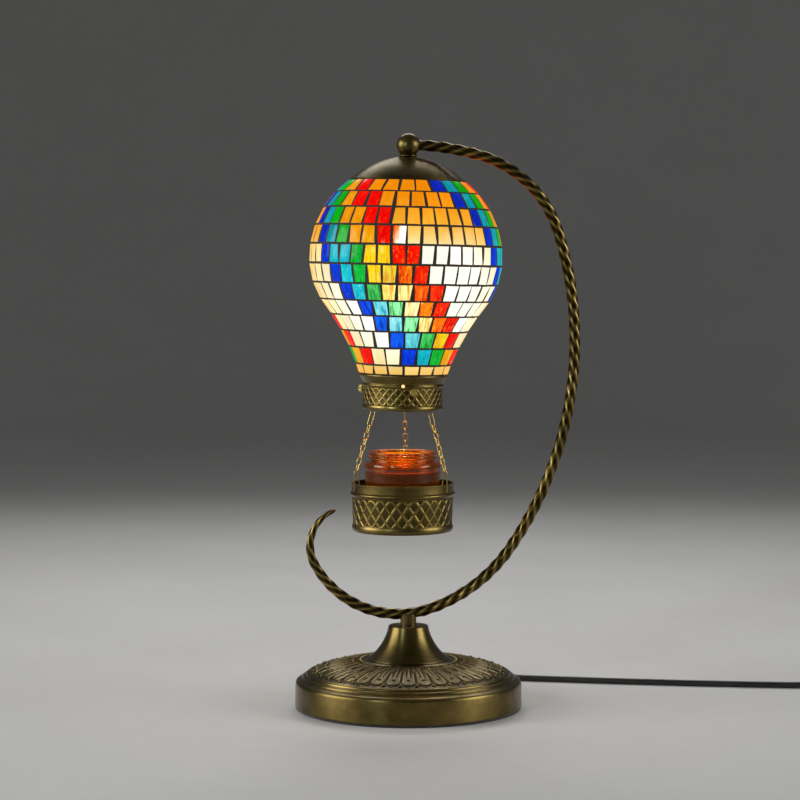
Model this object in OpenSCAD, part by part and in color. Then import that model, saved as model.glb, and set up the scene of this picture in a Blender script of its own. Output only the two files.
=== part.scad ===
// Mosaic glass table lamp shaped like a hot-air balloon, with a jar in the hanging basket.
// Millimetres, +Z up, origin under the middle of the foot. The front of the lamp faces -Y.

/* [Base] */
// Radius of the round foot
base_r = 99; // [96:0.5:102]
// Height of the foot's upright rim
rim_h = 25; // [21:0.5:26]
// Height of the concave cone that carries the stem
cone_top = 71.6; // [69:0.2:73]

/* [Arm] */
// Radius of the round tube that the arm is bent from
arm_r = 4.8; // [4.2:0.1:5.2]
// Radius of the bore that the inner wire runs through
arm_bore = 3.2; // [2.8:0.1:3.5]
// Height of the arm's centre line where it enters the ball
arm_z = 488.5; // [488:0.1:489]

/* [Shade] */
// Largest radius over the mosaic tiles
shade_r = 83.4; // [82:0.2:85]
// Height of the widest point of the shade
shade_z = 391.4; // [391:0.1:392]
// Length of a tile on the upper rows, down the shade
tile_h = 15.5; // [14:0.1:15.6]
// Length of a tile on the lower rows, down the shade
tile_low_h = 14.6; // [13:0.1:15]
// Width of the grout line between two tiles
tile_gap = 1.4; // [0.8:0.1:2.2]
// Thickness of a glass tile
tile_t = 2; // [1.4:0.1:2.1]
// Lean of the balloon about the ball on top, in degrees
balloon_tilt = 1.3; // [0:0.1:1.5]

/* [Basket] */
// Outer radius of the basket's rim
basket_r = 44.3; // [43.5:0.1:45.5]

/* [Jar] */
// Radius of the glass jar's body
jar_r = 32.8; // [30:0.1:34]
// Height of the jar, foot to lip
jar_h = 66.6; // [62:0.2:68]
// Depth of the wax in the jar
wax_h = 46; // [20:1:50]

/* [Cord] */
// Diameter of the mains cord
cord_d = 5.5; // [5:0.1:5.6]

/* [Hidden] */
$fn = 96;

brass = "#6b5a2c";
dark_brass = "#4a3d1e";
steel = "#9a9a98";
black = "#1b1b1c";
// gap left between neighbouring pieces
slack = 0.3;

// Ball on top of the arm, about which the whole balloon leans
ball_r = 10.3;
ball_z = 488.4;

// What hangs rigidly from the ball leans with it
module in_balloon() {
    translate([0, 0, ball_z])
        rotate([0, balloon_tilt, 0])
            translate([0, 0, -ball_z])
                children();
}

// Ring of wall between a hole and the collar's inner edge, where the chains hook in
hook_r = 27.1;
hook_z = 262.6;
// Basket and chains hang plumb below the collar, beside the foot's axis
hang_x = -(ball_z - hook_z) * sin(balloon_tilt);
module in_hang() {
    translate([hang_x, 0, 0])
        children();
}

// ---------------------------------------------------------------- base
base_wall = 1.2;
felt_t = 2;
petals = 36;
post_r = 7;
cone_r = 35;
cone_z = 42.8;
exit_z = 9;

// Outline of the foot, d inside its outer face
function foot_line(d) = [
    [base_r - d, felt_t],
    [base_r - 0.6 - d, rim_h - 3],
    [base_r - 1.6 - d, rim_h - 1 - d / 2],
    [base_r - 3.4 - d, rim_h - d],
    [92 - d, rim_h + 1.6 - d],
    [91.2 - d, rim_h + 3 - d],
    [88.8 - d, rim_h + 3.4 - d],
    [88 - d, rim_h + 5.4 - d],
    [85.6 - d, rim_h + 6 - d],
    [83 - d, rim_h + 8 - d],
    [72, 35.6 - d],
    [58, 38.9 - d],
    [44, 41.6 - d],
    [38, 42.4 - d],
    [post_r + slack, 42.6 - d]
];

module base_shell() {
    inner = foot_line(base_wall);
    color(brass)
        difference() {
            union() {
                rotate_extrude()
                    polygon(concat(foot_line(0), [for (i = [len(inner) - 1:-1:0]) inner[i]]));
                // beads at the tips and at the roots of the embossed petals
                for (i = [0:petals - 1])
                    rotate([0, 0, (i + 0.5) * 360 / petals]) {
                        translate([78.4, 0, 34])
                            sphere(r = 1.7, $fn = 20);
                        translate([50, 0, 40])
                            sphere(r = 1.4, $fn = 16);
                    }
            }
            translate([0, base_r - 6, exit_z])
                rotate([-90, 0, 0])
                    cylinder(r = grommet_r + slack, h = 12);
        }
}

module base_weight() {
    color("#3a3a3c")
        difference() {
            translate([0, 0, felt_t + 0.2])
                cylinder(r = 84, h = 10);
            cylinder(r = 11, h = 30);
            translate([-5, 0, 5])
                cube([10, 100, 20]);
        }
}

module base_felt() {
    color(black)
        cylinder(r = base_r - 0.8, h = felt_t);
}

module base_cone() {
    side_r = 46;
    foot = [cone_r, cone_z];
    top = [17.4, cone_top - 1.2];
    chord = top - foot;
    across = [chord[1], -chord[0]] / norm(chord);
    centre = (foot + top) / 2 + across * sqrt(side_r * side_r - pow(norm(chord) / 2, 2));
    a0 = atan2(foot[1] - centre[1], foot[0] - centre[0]);
    a1 = atan2(top[1] - centre[1], top[0] - centre[0]);
    steps = 12;
    side = [for (i = [0:steps])
        let (a = a0 + (a1 - a0) * i / steps)
        centre + side_r * [cos(a), sin(a)]];
    wall = 1.5;
    color(brass)
        rotate_extrude()
            polygon(concat(
                side,
                [[top[0] - 0.4, cone_top - 0.4], [top[0] - 1.2, cone_top]],
                [[post_r + slack, cone_top], [post_r + slack, cone_top - wall]],
                [for (i = [steps:-1:1]) side[i] - [wall, 0]],
                [[cone_r - wall, cone_z]]
            ));
}

module stem_post() {
    color(dark_brass)
        difference() {
            translate([0, 0, 30])
                cylinder(r = post_r, h = arm_low_z - 30);
            cylinder(r = 4, h = 100);
            arm_run(4, 0, arm_cross + 8, arm_r + 0.02);
        }
}

module stem_washer() {
    color(steel)
        difference() {
            translate([0, 0, 39.4])
                cylinder(r = 16, h = 1.6);
            cylinder(r = post_r + slack, h = 60);
        }
}

module stem_nut() {
    color(steel)
        difference() {
            translate([0, 0, 34])
                cylinder(r = 12, h = 5.2, $fn = 6);
            cylinder(r = post_r + 0.05, h = 60);
        }
}

// ---------------------------------------------------------------- arm
// Tangent arcs, [radius, sweep], that run clockwise from the ball to the curled tail
ARM_ARCS = [[221, 16.4], [100, 56], [316, 52.3], [139, 37.2], [83, 79], [34, 99]];
// Distance of the tube's end from the ball's centre
arm_x0 = 6.5;

function arc_from(p, r, a) =
    let (h = p[2], c = [p[0] + r * sin(h), p[1] - r * cos(h)])
    [c[0] - r * sin(h - a), c[1] + r * cos(h - a), h - a];
// [x, z, heading] at the start of arc i
function arm_start(i) =
    i == 0 ? [0, arm_z, 0] : arc_from(arm_start(i - 1), ARM_ARCS[i - 1][0], ARM_ARCS[i - 1][1]);
function arm_centre(i) =
    let (p = arm_start(i), r = ARM_ARCS[i][0])
    [p[0] + r * sin(p[2]), p[1] - r * cos(p[2])];
// point on arc i, a degrees past its start
function arm_at(i, a) =
    let (p = arc_from(arm_start(i), ARM_ARCS[i][0], a))
    [p[0], 0, p[1]];

// The arm crosses the stem's axis on arc 4, this many degrees past its start
arm_lean = asin(arm_centre(4)[0] / ARM_ARCS[4][0]);
arm_cross = arm_start(4)[2] + 180 + arm_lean;
arm_low_z = arm_at(4, arm_cross)[2];
// The round tube ends here and the tapered tail starts
arm_end = arm_cross + 8;

// Round bar of radius r along arc i, from a0 to a1 degrees past its start
module arm_run(i, a0, a1, r) {
    c = arm_centre(i);
    translate([c[0], 0, c[1]])
        rotate([90, 0, 0])
            rotate([0, 0, arm_start(i)[2] + 90 - a1])
                rotate_extrude(angle = a1 - a0, $fn = 180)
                    translate([ARM_ARCS[i][0], 0])
                        circle(r = r, $fn = 32);
}

module arm_line(r, last) {
    first = asin(arm_x0 / ARM_ARCS[0][0]);
    arm_run(0, first, ARM_ARCS[0][1], r);
    for (i = [1:3])
        arm_run(i, 0, ARM_ARCS[i][1], r);
    arm_run(4, 0, last, r);
}

// Points along arc i, about step apart, from a0 to a1 degrees past its start
function arc_points(i, a0, a1, step) =
    let (n = ceil((a1 - a0) * PI / 180 * ARM_ARCS[i][0] / step))
    [for (k = [0:n - 1]) arm_at(i, a0 + (a1 - a0) * k / n)];
// Centre line from the ball down to `last` degrees past the start of arc 4
function arm_points(first, last, step) = concat(
    arc_points(0, first, ARM_ARCS[0][1], step),
    arc_points(1, 0, ARM_ARCS[1][1], step),
    arc_points(2, 0, ARM_ARCS[2][1], step),
    arc_points(3, 0, ARM_ARCS[3][1], step),
    arc_points(4, 0, last, step),
    [arm_at(4, last)]
);
arm_first = asin(arm_x0 / ARM_ARCS[0][0]);
arm_sides = 12;
// The bar is rolled with four ridges, which turn by one side from ring to ring
ridges = 4;
ridge_h = 0.45;
ring_step = 4.17;

module arm_tube() {
    color(brass)
        difference() {
            ridged_bar(arm_points(arm_first, arm_end, ring_step), function (i) arm_r, 0, arm_bore);
            // the wire comes up into the tube from the stem
            translate([0, 0, arm_low_z - 10])
                cylinder(r = arm_bore - 0.4, h = 10, $fn = 12);
        }
}

// Tapered tail, from the tube's end to the tip of the curl
module arm_tail() {
    path = concat(
        arc_points(4, arm_end, ARM_ARCS[4][1], ring_step),
        arc_points(5, 0, ARM_ARCS[5][1], ring_step),
        [arm_at(5, ARM_ARCS[5][1])]
    );
    last = len(path) - 1;
    color(brass)
        ridged_bar(
            path,
            function (i) arm_r - 0.9 * i / last - 2.2 * pow(i / last, 3),
            len(arm_points(arm_first, arm_end, ring_step)) - 1,
            0
        );
}

// Bar with twisted ridges, hollow if it has a bore; radius(ring) is its size over the
// ridges, and turned is how many rings the twist has already run
module ridged_bar(path, radius, turned, bore) {
    tube(path, arm_sides, [0, 1, 0], function (i, k)
        radius(i) * (1 - ridge_h / arm_r * (1 - cos(ridges * (k - i - turned) * 360 / arm_sides)) / 2), bore);
}

// Round tube of radius r
module sweep(path, r, sides, up) {
    tube(path, sides, up, function (i, k) r, 0);
}

// Closed tube through the points of a path, with a bore unless that is 0; size(ring, side)
// is the distance of a corner from the path, and up is never along the path
module tube(path, sides, up, size, bore) {
    n = len(path);
    function ring(i, size) =
        let (
            t = path[min(i + 1, n - 1)] - path[max(i - 1, 0)],
            a = cross(t, up) / norm(cross(t, up)),
            b = cross(a, t) / norm(cross(a, t))
        )
        [for (k = [0:sides - 1])
            path[i] + size(i, k) * (cos(k * 360 / sides) * a + sin(k * 360 / sides) * b)];
    // faces between two rows of corners that start at p and q
    function band(p, q) = [for (k = [0:sides - 1])
        let (k2 = (k + 1) % sides)
        each [[p + k, p + k2, q + k2], [p + k, q + k2, q + k]]];
    inner = n * sides;
    outside = [for (i = [0:n - 2]) each band(i * sides, (i + 1) * sides)];
    inside = [for (i = [0:n - 2]) each band(inner + (i + 1) * sides, inner + i * sides)];
    ends = bore > 0
        ? concat(band(inner, 0), band((n - 1) * sides, inner + (n - 1) * sides))
        : [[for (k = [sides - 1:-1:0]) k], [for (k = [0:sides - 1]) (n - 1) * sides + k]];
    polyhedron(
        [for (i = [0:n - 1]) each ring(i, size),
            if (bore > 0) for (i = [0:n - 1]) each ring(i, function (i, k) bore)],
        concat(outside, bore > 0 ? inside : [], ends),
        convexity = 6
    );
}

module arm_ball() {
    color(brass)
        difference() {
            translate([0, 0, ball_z])
                sphere(r = ball_r);
            translate([arm_x0 - 0.2, 0, arm_z])
                rotate([0, 90, 0])
                    cylinder(r = arm_r + 0.1, h = 10);
            // channel that turns the wire down into the nipple
            translate([0, 0, arm_z])
                rotate([0, 90, 0])
                    cylinder(r = arm_bore, h = 10);
            in_balloon()
                translate([0, 0, 470])
                    cylinder(r = nipple_r + 0.05, h = 16);
            in_balloon()
                translate([0, 0, 470])
                    cylinder(r = 20, h = 480.2 - 470);
            in_balloon()
                translate([0, 0, 480])
                    cylinder(r = arm_bore, h = 11);
        }
}

// ---------------------------------------------------------------- cap and holder
nipple_r = 4.8;
cap_r = 49.7;
cap_top = 478.6;
cap_rise = 20.3;
cap_sphere = (cap_r * cap_r + cap_rise * cap_rise) / (2 * cap_rise);
cap_wall = 0.9;

module top_nipple() {
    color(steel)
        in_balloon()
            difference() {
                translate([0, 0, 462])
                    cylinder(r = nipple_r, h = 485.6 - 462);
                translate([0, 0, 460])
                    cylinder(r = 3.5, h = 30);
            }
}

module neck_ring() {
    color(dark_brass)
        in_balloon()
            difference() {
                translate([0, 0, cap_top + 0.1])
                    cylinder(r = 7.8, h = 1.4);
                translate([0, 0, cap_top - 1])
                    cylinder(r = nipple_r + 0.2, h = 5);
            }
}

module cap_dome() {
    color(brass)
        in_balloon()
            difference() {
                union() {
                    intersection() {
                        translate([0, 0, cap_top - cap_sphere])
                            difference() {
                                sphere(r = cap_sphere, $fn = 180);
                                sphere(r = cap_sphere - cap_wall, $fn = 180);
                            }
                        translate([0, 0, cap_top - cap_rise])
                            cylinder(r = cap_r + 1, h = cap_rise + 1);
                    }
                    // rolled edge
                    translate([0, 0, cap_top - cap_rise])
                        rotate_extrude()
                            translate([cap_r - 0.3, 0])
                                circle(r = 0.8, $fn = 24);
                }
                translate([0, 0, cap_top - 5])
                    cylinder(r = nipple_r + 0.2, h = 10);
            }
}

holder_z = 465.4;
holder_t = 1.4;
// Plate under the cap with three fingers that hook under the lip of the glass
module shade_holder() {
    finger_r = 36;
    finger_w = 10;
    foot_z = 454.4;
    color(steel)
        in_balloon()
            difference() {
                union() {
                    translate([0, 0, holder_z])
                        cylinder(r = 22, h = holder_t);
                    for (a = [30, 150, 270])
                        rotate([0, 0, a]) {
                            translate([15, -finger_w / 2, holder_z])
                                cube([finger_r - 15, finger_w, holder_t]);
                            translate([finger_r - holder_t, -finger_w / 2, foot_z])
                                cube([holder_t, finger_w, holder_z + holder_t - foot_z]);
                            translate([finger_r - holder_t, -finger_w / 2, foot_z])
                                cube([8, finger_w, holder_t]);
                        }
                }
                translate([0, 0, holder_z - 1])
                    cylinder(r = nipple_r + 0.2, h = 5);
            }
}

module holder_nut() {
    color(steel)
        in_balloon()
            difference() {
                translate([0, 0, holder_z + holder_t + 0.2])
                    cylinder(r = 9, h = 4, $fn = 6);
                translate([0, 0, holder_z])
                    cylinder(r = nipple_r + 0.05, h = 20);
            }
}

// ---------------------------------------------------------------- lampholder and bulb
socket_top = holder_z - 0.3;
socket_mouth = 429;
globe_z = 406;
globe_r = 22.5;

module socket_shell() {
    color(black)
        in_balloon()
            rotate_extrude()
                polygon([
                    [nipple_r + 0.05, socket_top], [13, socket_top], [19, socket_top - 8],
                    [19, socket_mouth], [16.4, socket_mouth], [16.4, socket_top - 10],
                    [12, socket_top - 3], [nipple_r + 0.05, socket_top - 3]
                ]);
}

module socket_liner() {
    color("#b9a25a")
        in_balloon()
            rotate_extrude()
                polygon([
                    [14.1, socket_mouth + 1], [14.8, socket_mouth + 1], [14.8, 455.6],
                    [6, 455.6], [6, 454.8], [14.1, 454.8]
                ]);
}

module socket_contact() {
    color("#c08a4a")
        in_balloon()
            translate([0, 0, 454])
                cylinder(r = 4.5, h = 3, $fn = 32);
}

module bulb_screw_cap() {
    color("silver")
        in_balloon()
            rotate_extrude()
                polygon([
                    [12.7, 430.6], [13.4, 430.6], [13.4, 451], [9, 453.4], [3, 453.7],
                    [0, 453.7], [0, 453], [9, 452.7], [12.7, 450.6]
                ]);
}

module bulb_neck() {
    color("#e8e6e0")
        in_balloon()
            rotate_extrude()
                polygon([
                    [12.4, 446], [12.4, 430.4], [14, 429.8], [15.6, globe_z + 16.4],
                    [14, globe_z + 16.4], [11.6, 431], [11.6, 446]
                ]);
}

module bulb_globe() {
    color("#fff3d0", 0.9)
        in_balloon()
            translate([0, 0, globe_z])
                difference() {
                    sphere(r = globe_r);
                    sphere(r = globe_r - 1);
                    translate([0, 0, 16])
                        cylinder(r = 30, h = 20);
                }
}

module bulb_led_board() {
    color("#f4f0dc")
        in_balloon() {
            translate([0, 0, globe_z + 12.6])
                cylinder(r = 11, h = 1.6);
            translate([0, 0, globe_z + 4])
                cylinder(r = 4, h = 8.6);
        }
}

// ---------------------------------------------------------------- shade
// The profile is a large arc above the widest point, a smaller one below it, then a
// hollow flare down to the neck.
low_shift = 15;
low_r = shade_r - low_shift;
flare_a = 38;
neck = [38.1, 290.5];
flare_top = [low_shift + low_r * cos(flare_a), shade_z - low_r * sin(flare_a)];
flare_dir = [cos(flare_a), -sin(flare_a)];
flare_drop = neck - flare_top;
flare_r = (flare_drop * flare_drop) / (2 * (flare_drop * flare_dir));
flare_c = flare_top + flare_r * flare_dir;
crown_len = shade_r * PI / 2;
belly_len = low_r * flare_a * PI / 180;

// Point of the profile at length s from the crown, d inside the face of the tiles
function shade_at(s, d) =
    s < crown_len
    ? let (a = s / shade_r * 180 / PI)
      [(shade_r - d) * sin(a), shade_z + (shade_r - d) * cos(a)]
    : s < crown_len + belly_len
    ? let (a = (s - crown_len) / low_r * 180 / PI)
      [low_shift + (low_r - d) * cos(a), shade_z - (low_r - d) * sin(a)]
    : let (a = flare_a - (s - crown_len - belly_len) / flare_r * 180 / PI)
      [flare_c[0] - (flare_r + d) * cos(a), flare_c[1] + (flare_r + d) * sin(a)];

glass_d = 3;
glass_t = 2.2;
bed_d = 2.55;
glass_lip = 42;
row_first = 54.6;
row_first_h = 13.8;
row_last_h = 7.6;
upper_rows = 5;
lower_rows = 5;
shade_end = row_first + row_first_h + tile_gap
    + upper_rows * (tile_h + tile_gap) + lower_rows * (tile_low_h + tile_gap) + row_last_h;

// Strip between two depths of the profile, from length s0 to s1
function strip(s0, s1, d0, d1, n) = concat(
    [for (i = [0:n]) shade_at(s0 + (s1 - s0) * i / n, d0)],
    [for (i = [n:-1:0]) shade_at(s0 + (s1 - s0) * i / n, d1)]
);

module shade_glass() {
    steps = 40;
    outer = [for (i = [0:steps]) shade_at(glass_lip + (shade_end - glass_lip) * i / steps, glass_d)];
    inner = [for (i = [steps:-1:0])
        shade_at(glass_lip + (shade_end - glass_lip) * i / steps, glass_d + glass_t)];
    color("#f3ead8", 0.5)
        in_balloon()
            rotate_extrude()
                polygon(concat(
                    outer,
                    [[32.7, 285], [32.6, 272], [30.4, 272], [30.5, 286]],
                    inner
                ));
}

module grout() {
    color("#4a443e")
        in_balloon()
            rotate_extrude()
                polygon(strip(row_first - 0.4, shade_end, bed_d, glass_d - 0.05, 40));
}

// Mosaic rows from the cap down: [tiles in a turn, bearing of the first tile, colours].
// The colours repeat three times round the shade. B blue, C turquoise, G green, Y amber,
// O orange, R red, W white.
ROWS = [
    [27, 26.3, "BCGYRWWWW"],
    [33, 40.3, "BCGYRRWWWWW"],
    [39, 50.3, "BCGYYRRWWWWWW"],
    [39, 58.2, "BCGYYRRWWWWWW"],
    [42, 64.3, "BCCGYYRRWWWWWW"],
    [39, 73.4, "BCGYYORWWWWWW"],
    [36, 81.1, "BCGYYRRWWWWW"],
    [33, 91.7, "BCGYORWWWWW"],
    [30, 101.5, "BCGYORWWWW"],
    [24, 112.7, "BCGYRWWW"],
    [21, 125.2, "BCGYRWW"],
    [18, 10, "WWWWWW"]
];
function row_top(i) =
    i == 0
    ? row_first
    : row_first + row_first_h + tile_gap
      + min(i - 1, upper_rows) * (tile_h + tile_gap)
      + max(i - 1 - upper_rows, 0) * (tile_low_h + tile_gap);
function row_h(i) =
    i == 0 ? row_first_h
    : i <= upper_rows ? tile_h
    : i <= upper_rows + lower_rows ? tile_low_h
    : row_last_h;

// All tiles of one colour
module tiles(letter, tint) {
    color(tint)
        in_balloon()
            for (i = [0:len(ROWS) - 1]) {
                count = ROWS[i][0];
                hues = ROWS[i][2];
                a = shade_at(row_top(i), 0);
                b = shade_at(row_top(i) + row_h(i), 0);
                h = norm(a - b) / 2;
                wa = a[0] * PI / count - tile_gap / 2;
                wb = b[0] * PI / count - tile_gap / 2;
                for (k = [0:count - 1])
                    if (hues[k % len(hues)] == letter)
                        rotate([0, 0, ROWS[i][1] + k * 360 / count])
                            translate([0, -(a[0] + b[0]) / 2, (a[1] + b[1]) / 2])
                                rotate([90 + atan2(a[0] - b[0], a[1] - b[1]), 0, 0])
                                    translate([0, 0, -tile_t])
                                        linear_extrude(tile_t)
                                            polygon([[-wb, -h], [wb, -h], [wa, h], [-wa, h]]);
            }
}

module tiles_white() { tiles("W", "#fff1d6"); }
module tiles_blue() { tiles("B", "#1d3fc4"); }
module tiles_turquoise() { tiles("C", "#1fb0cf"); }
module tiles_green() { tiles("G", "#1f9a4a"); }
module tiles_amber() { tiles("Y", "#f0b21e"); }
module tiles_orange() { tiles("O", "#e8601c"); }
module tiles_red() { tiles("R", "#d3202a"); }

// ---------------------------------------------------------------- collar
screw_z = 277;
screw_bearings = [14, -106, 134];
chain_bearings = [-64, 56, 176];
collar_r = 34.3;
hook_wire = 0.45;
hook_bend = 1.95;

// Depth of the embossing between the bars of a band
emboss = 0.45;

// Diamond hollow pressed into a round wall of outer radius r at bearing a
module diamond(a, z, w, h, r) {
    rotate([0, 0, a])
        translate([0, -r + emboss, z])
            rotate([90, 0, 0])
                linear_extrude(3)
                    polygon([[0, -h / 2], [w / 2, 0], [0, h / 2], [-w / 2, 0]]);
}

// Embossed crossed bars on a wall of radius r0 below and r1 above: rows of diamonds,
// each row set half a step round from the last
module lattice(count, rows, z, band, r0, r1, bar) {
    step = 360 / count;
    high = 2 * band / (rows + 1);
    wide = 2 * PI * r0 / count;
    for (j = [0:rows - 1])
        for (k = [0:count - 1])
            diamond(
                (k + (j % 2) / 2) * step,
                z + (j + 1) * high / 2,
                wide - bar,
                high - bar,
                r0 + (r1 - r0) * (j + 1) / (rows + 1)
            );
}

module collar() {
    color(brass)
        difference() {
            in_balloon()
                difference() {
                    union() {
                        rotate_extrude()
                            polygon([
                                [38.2, 290.8], [38.9, 290.2], [38.5, 289.2], [35.2, 284.2],
                                [34.6, 283.2], [35.2, 282], [35.2, 280.8], [collar_r, 280],
                                [collar_r, 264.8], [34.8, 264], [35, 262.4], [34.6, 260.9],
                                [33.9, 260.2], [33.2, 260.6], [33.2, 262], [hook_r - 0.75, 262],
                                [hook_r - 0.75, 263.2], [33.2, 263.2], [33.2, 284.2],
                                [37.4, 290.2]
                            ]);
                        for (a = screw_bearings)
                            rotate([0, 0, a])
                                translate([0, -33.6, screw_z])
                                    rotate([90, 0, 0])
                                        cylinder(r = 2.8, h = 2, $fn = 32);
                    }
                    difference() {
                        lattice(30, 3, 264.8, 14, collar_r, collar_r, 1.5);
                        for (a = screw_bearings)
                            rotate([0, 0, a])
                                translate([-4.5, -40, screw_z - 4.5])
                                    cube([9, 10, 9]);
                    }
                    for (a = screw_bearings)
                        rotate([0, 0, a])
                            translate([0, -30, screw_z])
                                rotate([90, 0, 0])
                                    cylinder(r = screw_r + slack, h = 10, $fn = 32);
                    // peepholes that the lit glass shows through
                    for (a = [0, 120, 240])
                        rotate([0, 0, a])
                            translate([0, -30, 281.9])
                                rotate([90, 0, 0])
                                    cylinder(r = 1.7, h = 10, $fn = 32);
                }
            in_hang()
                for (a = chain_bearings)
                    rotate([0, 0, a])
                        translate([0, -hook_r - hook_bend, 258])
                            cylinder(r = 1.2, h = 8, $fn = 32);
        }
}

screw_r = 1.5;
module thumb_screw(a) {
    color(dark_brass)
        in_balloon()
            rotate([0, 0, a])
                translate([0, -32.9, screw_z])
                    rotate([90, 0, 0]) {
                        cylinder(r = screw_r, h = 4, $fn = 32);
                        translate([0, 0, 3.3])
                            difference() {
                                cylinder(r = 3.5, h = 3.2, $fn = 48);
                                // knurls
                                for (k = [0:11])
                                    rotate([0, 0, k * 30])
                                        translate([3.7, 0, -1])
                                            cylinder(r = 0.45, h = 6, $fn = 16);
                            }
                    }
}
module thumb_screw_front() { thumb_screw(screw_bearings[0]); }
module thumb_screw_left() { thumb_screw(screw_bearings[1]); }
module thumb_screw_back() { thumb_screw(screw_bearings[2]); }

// ---------------------------------------------------------------- chains
// In the plane of a chain, x is the distance from the basket's axis
eye_r = basket_r - 0.5;
eye_z = 190;
eye_bend = 2.3;
hook_len = 15.2;
eye_len = 14.5;
link_count = 7;
link_play = 0.25;
link_bend = 1.85;
chain_top = [hook_r, hook_z];
chain_end = [eye_r, eye_z + eye_bend + eye_len + eye_bend - hook_wire];
chain_slant = atan2(chain_end[0] - chain_top[0], chain_top[1] - chain_end[1]);
link_start = hook_len + hook_bend - hook_wire;
link_inner = (norm(chain_end - chain_top) - link_start + (link_count + 1) * link_play) / link_count;

// Closed wire loop with straight sides, hanging down from the centre of its top bend
module wire_loop(bend, straight) {
    rotate([90, 0, 0]) {
        rotate_extrude(angle = 180)
            translate([bend, 0])
                circle(r = hook_wire, $fn = 16);
        translate([0, -straight, 0])
            rotate([0, 0, 180])
                rotate_extrude(angle = 180)
                    translate([bend, 0])
                        circle(r = hook_wire, $fn = 16);
        for (x = [-bend, bend])
            translate([x, 0, 0])
                rotate([90, 0, 0])
                    cylinder(r = hook_wire, h = straight, $fn = 16);
    }
}

module chain(a) {
    straight = link_inner - 2 * (link_bend - hook_wire);
    color("#b9952f")
        in_hang()
            rotate([0, 0, a - 90]) {
                translate([hook_r, 0, hook_z])
                    rotate([0, -chain_slant, 0]) {
                        wire_loop(hook_bend, hook_len);
                        for (k = [0:link_count - 1])
                            translate([0, 0, -link_start + link_play - k * (link_inner - link_play)])
                                rotate([0, 0, k % 2 == 0 ? 90 : 0])
                                    translate([0, 0, -(link_bend - hook_wire)])
                                        wire_loop(link_bend, straight);
                    }
                translate([eye_r, 0, eye_z + eye_bend + eye_len])
                    wire_loop(eye_bend, eye_len);
            }
}
module chain_left() { chain(chain_bearings[0]); }
module chain_right() { chain(chain_bearings[1]); }
module chain_back() { chain(chain_bearings[2]); }

// ---------------------------------------------------------------- basket
basket_foot = 154.5;
module basket_wall() {
    color(brass)
        in_hang()
            difference() {
                rotate_extrude()
                    polygon([
                        [eye_r - 0.8, 196.2], [eye_r - 0.4, 196.8], [eye_r + 0.4, 196.8],
                        [eye_r + 0.8, 196.2], [basket_r, 195.4], [basket_r, 189],
                        [45.4, 188.2], [45.7, 187.3], [45.3, 186.2], [44.2, 185.4],
                        [44.2, 183.8], [43.9, 183.4], [43, 160.6], [43.7, 159.6],
                        [43.9, 157.2], [43.2, 155.2], [42, basket_foot],
                        [40, basket_foot], [40, 155.3], [41.9, 155.5], [41.9, 160.4],
                        [42.8, 183.6], [basket_r - 1, 186], [basket_r - 1, 195.4]
                    ]);
                lattice(28, 3, 160.4, 23.4, 43, 43.9, 1.7);
                for (a = chain_bearings)
                    rotate([0, 0, a])
                        translate([0, -40, eye_z])
                            rotate([90, 0, 0])
                                cylinder(r = 1.25, h = 8, $fn = 32);
            }
}

module basket_floor() {
    color(dark_brass)
        in_hang()
            translate([0, 0, 155.5])
                cylinder(r = 41.7, h = 1.2);
}

// ---------------------------------------------------------------- jar
jar_z = 157;
jar_wall = 2.4;
module jar_glass() {
    top = jar_h;
    color("#8a3a12", 0.6)
        in_hang()
            translate([0, 0, jar_z])
                rotate_extrude()
                    polygon([
                        [0, 0.8], [26, 0.8], [27, 0], [30.4, 0], [jar_r - 0.7, 0.8], [jar_r, 2.6],
                        [jar_r, top - 16], [jar_r + 0.3, top - 14], [jar_r + 0.2, top - 10.4],
                        [31.6, top - 9.2], [28, top - 8.8], [27.5, top - 8], [27.6, top - 7],
                        [30.2, top - 6.2], [30.2, top - 5.4], [27.7, top - 4.6],
                        [27.7, top - 3.9], [30.2, top - 3.2], [30.2, top - 2.4],
                        [28.4, top - 1.6], [29.3, top - 0.9], [29.1, top], [26.4, top],
                        [25.2, top - 1], [25.2, top - 9.4], [29.6, top - 11.6],
                        [jar_r - jar_wall, top - 13.6], [jar_r - jar_wall, 5.5],
                        [jar_r - jar_wall - 1.6, 3.8], [0, 3.6]
                    ]);
}

module jar_wax() {
    r = jar_r - jar_wall - 0.2;
    color("#5c150c")
        in_hang()
            translate([0, 0, jar_z])
                rotate_extrude()
                    polygon([
                        [0, 3.8], [r - 1.8, 4], [r, 6], [r, 3.8 + wax_h],
                        [r - 1.4, 3.2 + wax_h], [0, 3 + wax_h]
                    ]);
}

// ---------------------------------------------------------------- wiring
wire_r = 2.4;
grommet_r = 4.2;
grommet_end = 124;

module inner_wire() {
    // straight runs under the foot, up the stem and down from the ball to the lampholder
    below = concat(
        [for (k = [0:5]) [0, grommet_end - (grommet_end - 6) * k / 5, exit_z]],
        [[0, 2, exit_z + 0.6], [0, 0.3, exit_z + 3]],
        [for (k = [0:3]) [0, 0, exit_z + 8 + (arm_low_z - exit_z - 14) * k / 3]],
        [[0.3, 0, arm_low_z - 2.6], [1.6, 0, arm_low_z - 0.7]]
    );
    inside = arm_points(arm_first, arm_cross - 3, 9);
    drop = (ball_z - 458) * sin(balloon_tilt);
    above = [
        [3, 0, arm_z], [0.9, 0, arm_z - 0.8], [0.1, 0, arm_z - 3],
        [-drop / 2, 0, (ball_z + 458) / 2], [-drop, 0, 458]
    ];
    color("#d8d2c4") {
        sweep(concat(below, [for (i = [len(inside) - 1:-1:0]) inside[i]], above), wire_r, 8, [1, 0, 0]);
    }
}

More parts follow.
